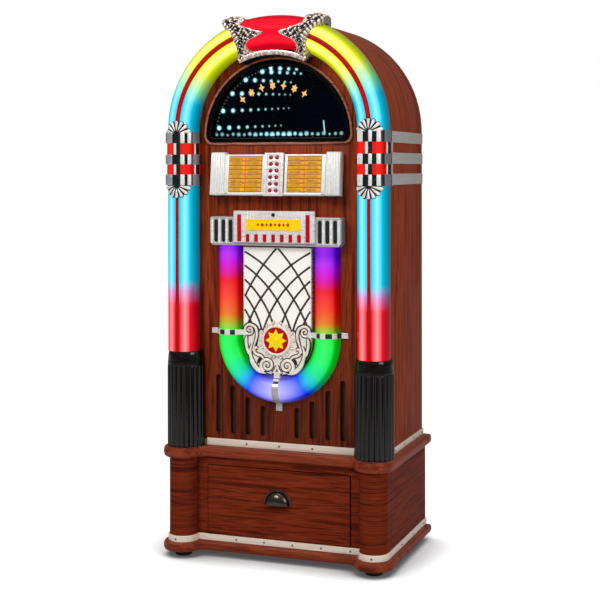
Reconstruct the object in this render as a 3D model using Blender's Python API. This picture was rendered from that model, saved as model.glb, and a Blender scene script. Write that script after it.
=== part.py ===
"""Free-standing arch-top jukebox on a storage stand with one drawer.

Units are metres, +Z is up and the front faces -Y.  Every piece is modelled in
"panel space", where y = 0 is the front face of the cabinet's front panel, and
hangs under one empty that centres the whole jukebox on the world origin.
"""
import math

import bmesh
import bpy

# ---------------------------------------------------------------- driving dimensions
GAP = 0.0003                    # clearance between pieces that touch

CABINET_HALF = 0.289            # half width of the wooden cabinet
CABINET_DEPTH = 0.344
BACK_PANEL = (0.326, 0.335)     # y range of the back panel, set inside the shell
BACK_VENTS = (0.026, 0.90, 1.02, 0.004)            # pitch, low, high, half width
TERMINAL_HALF = 0.060
TERMINAL_LOW, TERMINAL_HIGH = 0.350, 0.430
SHELL_WALL = 0.015
PANEL_THICKNESS = 0.015
PANEL_HOLE_HALF, PANEL_HOLE_TOP = 0.080, 0.800     # opening behind the grille
ARCH_Z = 1.116                  # height of the centre of the round top

TUBE_PATH = 0.262               # the lit tubes' centre line: half width, and arch radius
TUBE_R = 0.0455
TUBE_Y = -0.012                 # the tubes stand this far in front of the panel
TUBE_WALL = 0.003

CROWN_HALF_ANGLE = math.radians(27.5)
CROWN_LEAF_ANGLE = math.radians(9.0)
CROWN_LENS_R = 0.0465
CROWN_CASTING_R = 0.0575
CROWN_RAIL = (0.011, 0.012)     # width and depth of the rail inside the arch
STRIP_HALF = 0.012              # lamp strip behind the tubes
STRIP_THICKNESS = 0.0036

GRIP_LOW, GRIP_HIGH = 0.979, 1.112
GRIP_TIP_LOW, GRIP_TIP_HIGH = 0.946, 1.144
GRIP_R = 0.0525
GRIP_FAN = 0.034                # half width of the round fans
GRIP_LENS = 0.0032
GRIP_WINDOW_REACH = (0.006, 0.043)                 # either side of the tube's centre line
GRIP_WINDOWS = ((1.0055, 1.032), (1.059, 1.087))
STRAP_CENTRES = (0.995, 1.050, 1.106)
STRAP_HEIGHT = 0.028
STRAP_THICKNESS = 0.0035
CORNER_STRIP = (0.0295, 0.062)

COLUMN_TOP = 0.5415
COLLAR_LOW = 0.5045
COLUMN_R = 0.0508
FLUTES = 16
FLUTE_DEPTH = 0.0022

WINDOW_Z = 1.1013               # centre of the window's round top
WINDOW_R = 0.2065
WINDOW_BOTTOM = 1.0955
WINDOW_CORNER = 0.022
BEZEL_WIDTH = 0.014
BEZEL_DEPTH = 0.012
BEZEL_REST = 0.004              # the bezel overlaps the glass by this much
GLASS_BACK = 0.004
TRAY_DEPTH = 0.045
TRAY_WALL = 0.005
TRAY_FLOOR = 0.003

TITLE_LOW, TITLE_HIGH = 0.951, 1.0675
TITLE_HALF = 0.181
TITLE_CAP = 0.041
TITLE_FRONT_LOW, TITLE_FRONT_HIGH = 0.040, 0.026   # how far each edge stands off the panel
TITLE_INSET = (0.0035, 0.006)   # the middle is this much lower and slimmer than the caps
TITLE_RECESS = 0.004            # and this far behind them
POCKET_HALF = 0.1285            # pocket for the title strips, about the middle of the face
POCKET_RISE = 0.0465
POCKET_FLOOR = 0.0075
SHEET_THICKNESS = 0.0017
CASTING_SKIN = 0.003            # wall of the hollow castings
SELECTOR_HALF = 0.026
SELECTOR_LOW, SELECTOR_HIGH = -0.0575, 0.0555
SELECTOR_THICKNESS = 0.0065
BUTTON_R = 0.004
BUTTON_PITCH_X = 0.0168
BUTTON_PITCH_Z = 0.0172
BUTTON_ROWS = 6
BUTTON_PROUD = 0.0022
BUTTON_LENGTH = 0.0064
BUTTON_CLEARANCE = 0.0003

VENT_HALF = 0.182
VENT_LOW, VENT_HIGH = 0.823, 0.898
VENT_DEPTH = 0.037
VENT_SLOTS = (0.1235, 0.1441, 0.1647)
VENT_SLOT_LOW, VENT_SLOT_HIGH, VENT_SLOT_R = 0.8405, 0.8865, 0.0044
VENT_CHAMFER = 0.008
VENT_BEVEL = 0.004
PLATE_HALF = 0.1115
PLATE_LOW, PLATE_HIGH = 0.8315, 0.9137
PLATE_DEPTH = 0.008
LABEL_HALF = 0.0752
LABEL_LOW, LABEL_HIGH = 0.8636, 0.8926
LABEL_PROUD = 0.002

U_CENTRE_Z = 0.582
U_PATH = 0.134
U_R = 0.0345
U_TOP = 0.8225
U_BAND_LOW, U_BAND_HIGH = 0.588, 0.602
U_BAND_END = 0.190
GRILLE_HALF = 0.0945
GRILLE_TOP = 0.8185
GRILLE_STANDOFF = 0.0165
GRILLE_LIP = 0.0022
GRILLE_SHEET = 0.0016
CASTING_PLATE = 0.005
SHIELD_HALF, SHIELD_TOP = 0.066, 0.628
MEDALLION_Z = 0.578
MEDALLION_R = 0.034
MEDALLION_DEPTH = 0.011
BAND_PLAY, BAND_SKIN = 0.0008, 0.0026              # clearance and thickness of the tube bands
BAND_TAB = 0.004
CLIP_HALF = 0.009
CLIP_LOW = 0.3915
CLIP_TOP = 0.500

SPEAKER_X, SPEAKER_Z = 0.112, 0.392
CLOTH_HALF = 0.205
CLOTH_LOW, CLOTH_HIGH = 0.310, 0.500
CLOTH_THICKNESS = 0.0019
AMPLIFIER_HALF = 0.090
AMPLIFIER_Y = (0.180, 0.310)
AMPLIFIER_TOP = 0.345
AMPLIFIER_SHEET = 0.002
INLET_HALF, INLET_LOW, INLET_HIGH = 0.024, 0.358, 0.386

SOUND_SLOTS = ((0.0475, 0.402), (0.0893, 0.4215), (0.1328, 0.450), (0.174, 0.4785))
SOUND_SLOT_LOW = 0.322
SOUND_SLOT_R = 0.007

FOOT_R = 0.023
BOTTOM_LOW, BOTTOM_HIGH = 0.016, 0.039
TOP_LOW, TOP_HIGH = 0.2625, 0.289
STAND_HALF = 0.301
STAND_FRONT = -0.012
STAND_BACK = 0.342
STAND_WALL = 0.016
POST_X, POST_Y, POST_R = 0.264, -0.024, 0.037
POST_STEPS = 12
BOARD_OVERHANG = 0.016
BOARD_HOLLOW = 0.016            # radius of the hollow curve beside each lobe
BOARD_BACK = 0.348
LOBE_FRONT = POST_Y - POST_R - BOARD_OVERHANG      # front-most point of the whole jukebox

DRAWER_HALF = 0.1972
DRAWER_LOW, DRAWER_HIGH = 0.0585, 0.2385
DRAWER_FACE = 0.018
DRAWER_PROUD = 0.004
DRAWER_BOX_DEPTH = 0.290
DRAWER_BOX_HIGH = 0.205
DRAWER_WALL = 0.010
RUNNER = 0.012
RUNNER_LOW = 0.130
RUNNER_PLAY = 0.0008
PULL_Z = 0.1655
PULL_HALF = 0.0345
PULL_RISE, PULL_DEPTH, PULL_DROP = 0.0235, 0.021, 0.014
TRIM_THICKNESS = 0.0035
LOWER_TRIM_HEIGHT = 0.0175
UPPER_TRIM_HALF = 0.205
UPPER_TRIM_HEIGHT = 0.0195
SCREW_PITCH = 0.092

CENTRE_Y = (BOARD_BACK + LOBE_FRONT) / 2.0

# ---------------------------------------------------------------- colours
CHERRY = ("cherry_wood", (0.23, 0.045, 0.02), 0.35, 0.0)
CHERRY_PANEL = ("cherry_panel", (0.33, 0.07, 0.03), 0.35, 0.0)
BLACK_GLOSS = ("black_gloss", (0.012, 0.012, 0.014), 0.2, 0.0)
SMOKED_GLASS = ("smoked_glass", (0.02, 0.05, 0.08), 0.05, 0.0)
MIRROR = ("mirror", (0.6, 0.65, 0.7), 0.05, 1.0)
ACRYLIC = ("lit_acrylic", (0.25, 0.85, 0.95), 0.25, 0.0)
RED_ACRYLIC = ("red_acrylic", (0.85, 0.02, 0.05), 0.2, 0.0)
CIRCUIT = ("circuit_board", (0.02, 0.16, 0.07), 0.5, 0.0)
CHROME = ("chrome", (0.8, 0.8, 0.82), 0.12, 1.0)
PEWTER = ("antique_silver", (0.55, 0.52, 0.5), 0.35, 1.0)
RIBBED_BLACK = ("black_plastic", (0.015, 0.015, 0.015), 0.35, 0.0)
AMBER = ("amber_card", (0.85, 0.55, 0.12), 0.5, 0.0)
RED_PLASTIC = ("red_plastic", (0.35, 0.01, 0.03), 0.3, 0.0)
PEARL = ("pearl_mesh", (0.85, 0.82, 0.8), 0.4, 0.3)
CLOTH = ("speaker_cloth", (0.04, 0.03, 0.02), 0.9, 0.0)
CREAM_METAL = ("cream_metal", (0.82, 0.78, 0.7), 0.3, 0.6)
DARK_BRONZE = ("dark_bronze", (0.03, 0.025, 0.02), 0.3, 0.9)
RUBBER = ("foot_rubber", (0.012, 0.012, 0.012), 0.7, 0.0)
BOARD = ("fibreboard", (0.3, 0.2, 0.12), 0.8, 0.0)
PAPER_CONE = ("speaker_cone", (0.03, 0.03, 0.03), 0.8, 0.0)
STEEL = ("steel", (0.5, 0.5, 0.52), 0.4, 1.0)


# ---------------------------------------------------------------- helpers
def material(spec):
    """The named Principled material, made once."""
    name, colour, roughness, metallic = spec
    found = bpy.data.materials.get(name)
    if found:
        return found
    made = bpy.data.materials.new(name)
    made.use_nodes = True
    shader = made.node_tree.nodes["Principled BSDF"]
    shader.inputs["Base Color"].default_value = (*colour, 1.0)
    shader.inputs["Roughness"].default_value = roughness
    shader.inputs["Metallic"].default_value = metallic
    return made


def place(name, bm, spec, parent, smooth=False):
    """Turn a bmesh into an object of panel space."""
    bmesh.ops.recalc_face_normals(bm, faces=bm.faces)
    mesh = bpy.data.meshes.new(name)
    bm.to_mesh(mesh)
    bm.free()
    if smooth:
        mesh.shade_smooth()
        mesh.set_sharp_from_angle(angle=math.radians(35))
    mesh.materials.append(material(spec))
    obj = bpy.data.objects.new(name, mesh)
    bpy.context.scene.collection.objects.link(obj)
    obj.parent = parent
    return obj


def as_cutter(obj):
    obj.hide_render = True
    obj.display_type = "WIRE"
    return obj


def boolean(obj, other, operation):
    """Combine obj with a cutter or guide object."""
    modifier = obj.modifiers.new(operation.lower(), "BOOLEAN")
    modifier.operation = operation
    modifier.solver = "EXACT"
    modifier.object = as_cutter(other)


def point_on(axis, u, v, height):
    """A point of a flat outline: u, v in the plane across axis, height along it."""
    if axis == "X":
        return (height, u, v)
    if axis == "Y":
        return (u, height, v)
    return (u, v, height)


def extruded(loops, low, high, axis="Y"):
    """Solid with an outer outline and any holes, extruded along one axis."""
    bm = bmesh.new()
    for loop in loops:
        verts = [bm.verts.new(point_on(axis, u, v, low)) for u, v in loop]
        for first, second in zip(verts, verts[1:] + verts[:1]):
            bm.edges.new((first, second))
    bmesh.ops.triangle_fill(bm, use_beauty=True, use_dissolve=False, edges=bm.edges[:])
    grown = bmesh.ops.extrude_face_region(bm, geom=bm.faces[:])
    moved = [item for item in grown["geom"] if isinstance(item, bmesh.types.BMVert)]
    bmesh.ops.translate(bm, verts=moved, vec=point_on(axis, 0.0, 0.0, high - low))
    return bm


def tray(outer, inner, rim, floor, back):
    """Dish whose rim faces rim (a y value), with a floor at y = floor and its back at y = back."""
    bm = bmesh.new()
    rings = []
    for loop, height in ((inner, floor), (inner, rim), (outer, rim), (outer, back)):
        rings.append([bm.verts.new((u, height, v)) for u, v in loop])
    for ring, following in zip(rings, rings[1:]):
        bridge(bm, ring, following)
    bm.faces.new(rings[0])
    bm.faces.new(rings[-1])
    return bm


def bridge(bm, ring, following):
    count = len(ring)
    for index in range(count):
        after = (index + 1) % count
        bm.faces.new((ring[index], ring[after], following[after], following[index]))


def loft(rings):
    """Closed body through a row of rings with the same number of points."""
    bm = bmesh.new()
    made = [[bm.verts.new(point) for point in ring] for ring in rings]
    for ring, following in zip(made, made[1:]):
        bridge(bm, ring, following)
    bm.faces.new(made[0])
    bm.faces.new(made[-1])
    return bm


def turned(profile, centre, segments, axis="Z"):
    """Solid of revolution from (radius, height) pairs that start and end off the axis."""
    rings = []
    for radius, height in profile:
        ring = []
        for index in range(segments):
            angle = 2.0 * math.pi * index / segments
            u = centre[0] + radius * math.cos(angle)
            v = centre[1] + radius * math.sin(angle)
            ring.append(point_on(axis, u, v, height))
        rings.append(ring)
    return loft(rings)


def box(x_range, y_range, z_range):
    outline = [(x_range[0], z_range[0]), (x_range[1], z_range[0]),
               (x_range[1], z_range[1]), (x_range[0], z_range[1])]
    return extruded([outline], y_range[0], y_range[1])


def arc(centre, radius, start, end, steps):
    """Points of an arc, angles in radians from +u towards +v, both ends included."""
    points = []
    for index in range(steps + 1):
        angle = start + (end - start) * index / steps
        points.append((centre[0] + radius * math.cos(angle), centre[1] + radius * math.sin(angle)))
    return points


def arch_outline(half, bottom, steps=32):
    """Straight sides up to ARCH_Z and a round top."""
    top = arc((0.0, ARCH_Z), half, 0.0, math.pi, steps)
    return [(-half, bottom), (half, bottom)] + top


def window_outline(inset, steps=26):
    """The window's D shape, drawn in by inset on every side."""
    radius = WINDOW_R - inset
    corner = WINDOW_CORNER - inset * 0.6
    bottom = WINDOW_BOTTOM + inset
    lift = math.asin((bottom + corner - WINDOW_Z) / (radius - corner))
    side = (radius - corner) * math.cos(lift)
    points = arc((side, bottom + corner), corner, -math.pi / 2.0, lift, 4)
    points += arc((0.0, WINDOW_Z), radius, lift, math.pi - lift, steps)[1:-1]
    points += arc((-side, bottom + corner), corner, math.pi - lift, 1.5 * math.pi, 4)
    return points


def u_outline(half, top, steps=20):
    """A U: flat top, straight legs and a round bottom about U_CENTRE_Z."""
    return [(half, top), (-half, top)] + arc((0.0, U_CENTRE_Z), half, math.pi, 2.0 * math.pi, steps)


def stadium(x, low, high, radius, steps=5):
    """Vertical slot with round ends."""
    points = arc((x, high - radius), radius, 0.0, math.pi, steps)
    return points + arc((x, low + radius), radius, math.pi, 2.0 * math.pi, steps)


def corner_ring(outer, inner, steps=12, flute=0.0):
    """Section of a hollow cover that wraps the cabinet's front corner.

    Points are (u, y): u runs away from the cabinet's middle from the tube's
    centre line, y is panel space.  The section starts on the front panel, goes
    round the outside, ends on the cabinet's side and comes back along the inside.
    Covers that nest share the angles between their two ends.
    """
    edge = CABINET_HALF - TUBE_PATH + GAP
    shared = [math.radians(170.0 + 238.0 * index / steps) for index in range(steps + 1)]

    def around(radius, depth):
        lift = -GAP - TUBE_Y
        start = math.atan2(lift, -math.sqrt(radius ** 2 - lift ** 2))
        end = math.atan2(math.sqrt(radius ** 2 - edge ** 2), edge) + 2.0 * math.pi
        ring = []
        for index, angle in enumerate([start] + shared + [end]):
            reach = radius - (depth if index % 2 else 0.0)
            ring.append((reach * math.cos(angle), TUBE_Y + reach * math.sin(angle)))
        ring[0] = (radius * math.cos(start), -GAP)
        ring[-1] = (edge, TUBE_Y + radius * math.sin(end))
        return ring

    return around(outer, flute) + around(inner, 0.0)[::-1]


def half_ring(outer, inner, steps=12):
    """Section of a half-round cover lying on the front panel."""
    points = arc((0.0, 0.0), outer, math.pi, 2.0 * math.pi, steps)
    points += arc((0.0, 0.0), inner, 2.0 * math.pi, math.pi, steps)
    return [(u, y - GAP) for u, y in points]


def standing(section, side, heights):
    """Rings of a section that stands on the tube's straight part at each height."""
    return [[(side * (TUBE_PATH + u), y, z) for u, y in section] for z in heights]


def over_arch(section, start, end, steps):
    """Rings of a section carried round the arch; angles are measured from the vertical."""
    rings = []
    for index in range(steps + 1):
        angle = start + (end - start) * index / steps
        ring = []
        for u, y in section:
            radius = TUBE_PATH + u
            ring.append((radius * math.sin(angle), y, ARCH_Z + radius * math.cos(angle)))
        rings.append(ring)
    return rings


def empty(name, location, parent=None):
    obj = bpy.data.objects.new(name, None)
    bpy.context.scene.collection.objects.link(obj)
    obj.parent = parent
    obj.location = location
    return obj


# ---------------------------------------------------------------- cabinet
def cabinet(root):
    low = TOP_HIGH + GAP
    floor = low + SHELL_WALL
    inside = CABINET_HALF - SHELL_WALL
    shell = extruded([arch_outline(CABINET_HALF, low), arch_outline(inside, floor)], 0.0, CABINET_DEPTH)
    place("cabinet_shell", shell, CHERRY, root, smooth=True)

    fit = inside - GAP
    holes = [window_outline(BEZEL_WIDTH), u_outline(PANEL_HOLE_HALF, PANEL_HOLE_TOP, 16)]
    for x, top in SOUND_SLOTS:
        for side in (-1, 1):
            holes.append(stadium(side * x, SOUND_SLOT_LOW, top, SOUND_SLOT_R))
    front = extruded([arch_outline(fit, floor + GAP)] + holes, 0.0, PANEL_THICKNESS)
    place("front_panel", front, CHERRY_PANEL, root)

    pitch, vent_low, vent_high, radius = BACK_VENTS
    vents = [stadium(pitch * step, vent_low, vent_high, radius, 4) for step in range(-4, 5)]
    terminal = [(-TERMINAL_HALF, TERMINAL_LOW), (TERMINAL_HALF, TERMINAL_LOW),
                (TERMINAL_HALF, TERMINAL_HIGH), (-TERMINAL_HALF, TERMINAL_HIGH)]
    back = extruded([arch_outline(fit, floor + GAP), terminal] + vents, *BACK_PANEL)
    place("back_panel", back, BOARD, root)


def window(root):
    bezel = extruded([window_outline(0.0), window_outline(BEZEL_WIDTH + BEZEL_REST)], -BEZEL_DEPTH, -GAP)
    place("window_bezel", bezel, BLACK_GLOSS, root)
    snug = BEZEL_WIDTH + 0.0005
    glass = extruded([window_outline(snug)], GAP, GLASS_BACK)
    place("window_glass", glass, SMOKED_GLASS, root)
    rim = GLASS_BACK + GAP
    back = rim + TRAY_DEPTH
    mirror = tray(window_outline(snug), window_outline(snug + TRAY_WALL), rim, back - TRAY_FLOOR, back)
    place("mirror_tray", mirror, MIRROR, root)


# ---------------------------------------------------------------- lit tubes and their castings
def light_tubes(root):
    section = corner_ring(TUBE_R, TUBE_R - TUBE_WALL)
    crown_gap = GAP / TUBE_PATH
    for side, name in ((-1, "light_tube_left"), (1, "light_tube_right")):
        rings = standing(section, side, [COLUMN_TOP + GAP])
        rings += over_arch(section, side * math.pi / 2.0, side * (CROWN_HALF_ANGLE + crown_gap), 11)
        place(name, loft(rings), ACRYLIC, root, smooth=True)

    strip = [(-STRIP_HALF, -STRIP_THICKNESS), (STRIP_HALF, -STRIP_THICKNESS),
             (STRIP_HALF, -GAP), (-STRIP_HALF, -GAP)]
    rings = standing(strip, -1, [COLUMN_TOP + 0.01])
    rings += over_arch(strip, -math.pi / 2.0, math.pi / 2.0, 20)
    rings += standing(strip, 1, [COLUMN_TOP + 0.01])
    place("light_strip", loft(rings), CIRCUIT, root)


def crown(root):
    section = corner_ring(CROWN_LENS_R, CROWN_LENS_R - TUBE_WALL)
    lens = loft(over_arch(section, -CROWN_HALF_ANGLE, CROWN_HALF_ANGLE, 10))
    place("crown_lens", lens, RED_ACRYLIC, root, smooth=True)

    section = corner_ring(CROWN_CASTING_R, CROWN_LENS_R + GAP)
    inner = CROWN_HALF_ANGLE - CROWN_LEAF_ANGLE
    outer = CROWN_HALF_ANGLE + math.radians(0.6)
    left = place("crown_casting", loft(over_arch(section, -outer, -inner, 3)), PEWTER, root, smooth=True)
    right = place("crown_right_guide", loft(over_arch(section, inner, outer, 3)), PEWTER, root)
    boolean(left, right, "UNION")
    low = CROWN_LENS_R + GAP
    width, depth = CROWN_RAIL
    rail = [(-low - width, -depth), (-low, -depth), (-low, -GAP), (-low - width, -GAP)]
    rail_guide = place("crown_rail_guide", loft(over_arch(rail, -outer, outer, 12)), PEWTER, root)
    boolean(left, rail_guide, "UNION")


def grip_outline(side):
    """Front view of a grip: straight band with a round fan above and below."""
    centre = side * TUBE_PATH
    fan = GRIP_FAN
    rise = GRIP_TIP_HIGH - GRIP_HIGH
    wide = GRIP_R + 0.02
    points = [(centre - wide, GRIP_LOW)]
    for index in range(9):
        angle = math.pi + math.pi * index / 8
        points.append((centre + fan * math.cos(angle), GRIP_LOW + rise * math.sin(angle)))
    points += [(centre + wide, GRIP_LOW), (centre + wide, GRIP_HIGH)]
    for index in range(9):
        angle = math.pi * index / 8
        points.append((centre + fan * math.cos(angle), GRIP_HIGH + rise * math.sin(angle)))
    points.append((centre - wide, GRIP_HIGH))
    return points


def grip(root, side, suffix):
    chrome = corner_ring(GRIP_R, TUBE_R + GRIP_LENS + GAP)
    body = loft(standing(chrome, side, [GRIP_TIP_LOW, GRIP_TIP_HIGH]))
    obj = place("grip_" + suffix, body, CHROME, root, smooth=True)
    outline = place("grip_outline_" + suffix, extruded([grip_outline(side)], -0.08, 0.06), CHROME, root)
    boolean(obj, outline, "INTERSECT")

    centre = side * TUBE_PATH
    for row, window_range in enumerate(GRIP_WINDOWS):
        for hand in (-1, 1):
            reach = sorted(centre + hand * offset for offset in GRIP_WINDOW_REACH)
            hole = box(reach, (-0.08, TUBE_Y - 0.014), window_range)
            cutter = place("grip_window_%s_%d_%d" % (suffix, row, hand), hole, CHROME, root)
            boolean(obj, cutter, "DIFFERENCE")

    skin = sorted((side * (CABINET_HALF + GAP), side * (CABINET_HALF + GAP + STRAP_THICKNESS)))
    corner_strip = box(skin, CORNER_STRIP, (GRIP_LOW, GRIP_HIGH))
    boolean(obj, place("strap_corner_" + suffix, corner_strip, CHROME, root), "UNION")
    for row, height in enumerate(STRAP_CENTRES):
        low = height - STRAP_HEIGHT / 2.0
        strap = box(skin, (CORNER_STRIP[1] - 0.002, CABINET_DEPTH), (low, low + STRAP_HEIGHT))
        boolean(obj, place("strap_%s_%d" % (suffix, row), strap, CHROME, root), "UNION")

    sleeve = corner_ring(TUBE_R + GRIP_LENS, TUBE_R + GAP)
    rings = standing(sleeve, side, [GRIP_LOW + 0.008, GRIP_HIGH - 0.008])
    place("grip_lens_" + suffix, loft(rings), RED_ACRYLIC, root, smooth=True)


def column(root, side, suffix):
    """Fluted base of a lit tube, with a smooth collar under the tube."""
    steps = 2 * FLUTES
    fluted = corner_ring(COLUMN_R, TUBE_R - TUBE_WALL, steps, flute=FLUTE_DEPTH)
    plain = corner_ring(COLUMN_R - 0.0006, TUBE_R - TUBE_WALL, steps)
    narrow = corner_ring(COLUMN_R - 0.003, TUBE_R - TUBE_WALL, steps)
    rings = standing(fluted, side, [TOP_HIGH + GAP, COLLAR_LOW - 0.004])
    rings += standing(plain, side, [COLLAR_LOW, COLUMN_TOP - 0.006])
    rings += standing(narrow, side, [COLUMN_TOP])
    place("column_" + suffix, loft(rings), RIBBED_BLACK, root)


# ---------------------------------------------------------------- title rack and selector
def lean_point(height, standoff):
    """(y, z) of a point over the leaning face of the title rack."""
    share = (height - TITLE_LOW) / (TITLE_HIGH - TITLE_LOW)
    face = TITLE_FRONT_LOW + (TITLE_FRONT_HIGH - TITLE_FRONT_LOW) * share
    return (-face - standoff, height)


def rack_section(low, high, standoff):
    return [(-GAP, low), lean_point(low, standoff), lean_point(high, standoff), (-GAP, high)]


def lean_frame(root):
    """Empty on the rack's face: its Z runs up the lean, its -Y points out of the face."""
    tilt = math.atan((TITLE_FRONT_LOW - TITLE_FRONT_HIGH) / (TITLE_HIGH - TITLE_LOW))
    middle = (TITLE_LOW + TITLE_HIGH) / 2.0
    y, z = lean_point(middle, 0.0)
    holder = empty("title_lean", (0.0, y, z), root)
    holder.rotation_euler = (-tilt, 0.0, 0.0)
    return holder


def title_rack(root, holder):
    inner = TITLE_HALF - TITLE_CAP
    section = rack_section(TITLE_LOW + TITLE_INSET[0], TITLE_HIGH - TITLE_INSET[1], -TITLE_RECESS)
    frame = place("title_frame", extruded([section], -inner - 0.001, inner + 0.001, "X"), CHROME, root)
    for side in (-1, 1):
        reach = sorted((side * inner, side * TITLE_HALF))
        cap = extruded([rack_section(TITLE_LOW, TITLE_HIGH, 0.0)], reach[0], reach[1], "X")
        boolean(frame, place("title_cap_guide_%d" % side, cap, CHROME, root), "UNION")
    pocket = box((-POCKET_HALF, POCKET_HALF), (-0.005, POCKET_FLOOR), (-POCKET_RISE, POCKET_RISE))
    boolean(frame, place("title_pocket", pocket, CHROME, holder), "DIFFERENCE")
    low = TITLE_LOW + TITLE_INSET[0] + CASTING_SKIN
    high = TITLE_HIGH - TITLE_INSET[1] - CASTING_SKIN
    hollow = rack_section(low, high, -POCKET_FLOOR - CASTING_SKIN)
    hollow[0], hollow[-1] = (0.01, low), (0.01, high)
    core = extruded([hollow], CASTING_SKIN - TITLE_HALF, TITLE_HALF - CASTING_SKIN, "X")
    boolean(frame, place("title_hollow", core, CHROME, root), "DIFFERENCE")

    sheet_back = POCKET_FLOOR - GAP
    sheet = box((-POCKET_HALF + 0.0005, POCKET_HALF - 0.0005), (sheet_back - SHEET_THICKNESS, sheet_back),
                (-POCKET_RISE + 0.0005, POCKET_RISE - 0.0005))
    place("title_sheet", sheet, AMBER, holder)


def button_places():
    places = []
    for row in range(BUTTON_ROWS):
        height = (row - (BUTTON_ROWS - 1) / 2.0) * BUTTON_PITCH_Z
        for side in (-1, 1):
            places.append((side * BUTTON_PITCH_X / 2.0, height))
    return places


def selector(root, holder):
    back = TITLE_RECESS - GAP
    front = back - SELECTOR_THICKNESS
    outline = [(-SELECTOR_HALF, SELECTOR_LOW), (SELECTOR_HALF, SELECTOR_LOW),
               (SELECTOR_HALF, SELECTOR_HIGH), (-SELECTOR_HALF, SELECTOR_HIGH)]
    bores = []
    for x, z in button_places():
        bores.append(arc((x, z), BUTTON_R + BUTTON_CLEARANCE, 0.0, 2.0 * math.pi, 12)[:-1])
    plate = extruded([outline] + bores, front, back)
    place("selector_plate", plate, PEARL, holder)

    for index, (x, z) in enumerate(button_places()):
        skirt = BUTTON_PROUD - 0.001
        profile = ((BUTTON_R, BUTTON_LENGTH - BUTTON_PROUD), (BUTTON_R, -skirt),
                   (BUTTON_R * 0.72, -BUTTON_PROUD))
        cap = turned(profile, (0.0, 0.0), 12, "Y")
        button = place("selector_button_%02d" % (index + 1), cap, RED_PLASTIC, holder, smooth=True)
        button.location = (x, front, z)


# ---------------------------------------------------------------- control bar
def control_bar(root):
    outline = [(-VENT_HALF + VENT_CHAMFER, VENT_LOW), (VENT_HALF - VENT_CHAMFER, VENT_LOW),
               (VENT_HALF, VENT_LOW + VENT_CHAMFER), (VENT_HALF, VENT_HIGH - VENT_BEVEL),
               (VENT_HALF - VENT_BEVEL, VENT_HIGH), (-VENT_HALF + VENT_BEVEL, VENT_HIGH),
               (-VENT_HALF, VENT_HIGH - VENT_BEVEL), (-VENT_HALF, VENT_LOW + VENT_CHAMFER)]
    slots = []
    for x in VENT_SLOTS:
        for side in (-1, 1):
            slots.append(stadium(side * x, VENT_SLOT_LOW, VENT_SLOT_HIGH, VENT_SLOT_R, 3))
    bar = place("vent_bar", extruded([outline] + slots, -VENT_DEPTH, -GAP), CHROME, root)
    wall = CASTING_SKIN
    core = box((wall - VENT_HALF, VENT_HALF - wall), (wall - VENT_DEPTH, 0.01),
               (VENT_LOW + wall, VENT_HIGH - wall))
    boolean(bar, place("vent_hollow", core, CHROME, root), "DIFFERENCE")

    back = -VENT_DEPTH - GAP
    plate = box((-PLATE_HALF, PLATE_HALF), (back - PLATE_DEPTH, back), (PLATE_LOW, PLATE_HIGH))
    obj = place("control_plate", plate, CHROME, root)
    face = back - PLATE_DEPTH
    label = box((-LABEL_HALF, LABEL_HALF), (face - LABEL_PROUD, back - LABEL_PROUD), (LABEL_LOW, LABEL_HIGH))
    boolean(obj, place("label_guide", label, CHROME, root), "UNION")


# ---------------------------------------------------------------- lower tube, grille and casting
def lower_tube(root):
    section = half_ring(U_R, U_R - TUBE_WALL)
    rings = [[(-(U_PATH + u), y, U_TOP) for u, y in section]]
    for index in range(25):
        angle = math.pi * index / 24
        ring = []
        for u, y in section:
            radius = U_PATH + u
            ring.append((-radius * math.cos(angle), y, U_CENTRE_Z - radius * math.sin(angle)))
        rings.append(ring)
    rings.append([(U_PATH + u, y, U_TOP) for u, y in section])
    place("u_tube", loft(rings), ACRYLIC, root, smooth=True)


def grille(root):
    front = -GRILLE_STANDOFF
    inner = u_outline(GRILLE_HALF - GRILLE_LIP, GRILLE_TOP - GRILLE_LIP)
    plate = tray(u_outline(GRILLE_HALF, GRILLE_TOP), inner, -GAP, front + GRILLE_SHEET, front)
    place("grille", plate, PEARL, root)


def grille_casting(root):
    """Scrollwork over the grille's foot, its medallion, and the bands that hold the lower tube."""
    back = -GRILLE_STANDOFF - GAP
    shield = [(-SHIELD_HALF, SHIELD_TOP)]
    shield += arc((0.0, MEDALLION_Z), MEDALLION_R + 0.011, math.radians(150), math.radians(30), 8)
    shield += [(SHIELD_HALF, SHIELD_TOP)]
    shield += arc((0.0, U_CENTRE_Z), GRILLE_HALF - 0.003, 0.0, -math.pi, 16)
    casting = place("grille_casting", extruded([shield], back - CASTING_PLATE, back), PEWTER, root)
    rim = ((MEDALLION_R, back - 0.001), (MEDALLION_R, back - MEDALLION_DEPTH))
    disc = turned(rim, (0.0, MEDALLION_Z), 24, "Y")
    boolean(casting, place("medallion_guide", disc, PEWTER, root), "UNION")

    tab, arm = U_BAND_END - U_PATH, GRILLE_HALF - 0.0095 - U_PATH
    for side in (-1, 1):
        band = [(side * (U_PATH + u), y - GAP) for u, y in band_section(tab, arm)]
        solid = extruded([band], U_BAND_LOW, U_BAND_HIGH, "Z")
        boolean(casting, place("u_band_guide_%d" % side, solid, PEWTER, root), "UNION")
    foot = U_CENTRE_Z - U_PATH
    clip = [(y - GAP, foot - u) for u, y in band_section(foot - CLIP_LOW, foot - CLIP_TOP)]
    solid = extruded([clip], -CLIP_HALF, CLIP_HALF, "X")
    boolean(casting, place("u_clip_guide", solid, PEWTER, root), "UNION")


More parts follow.
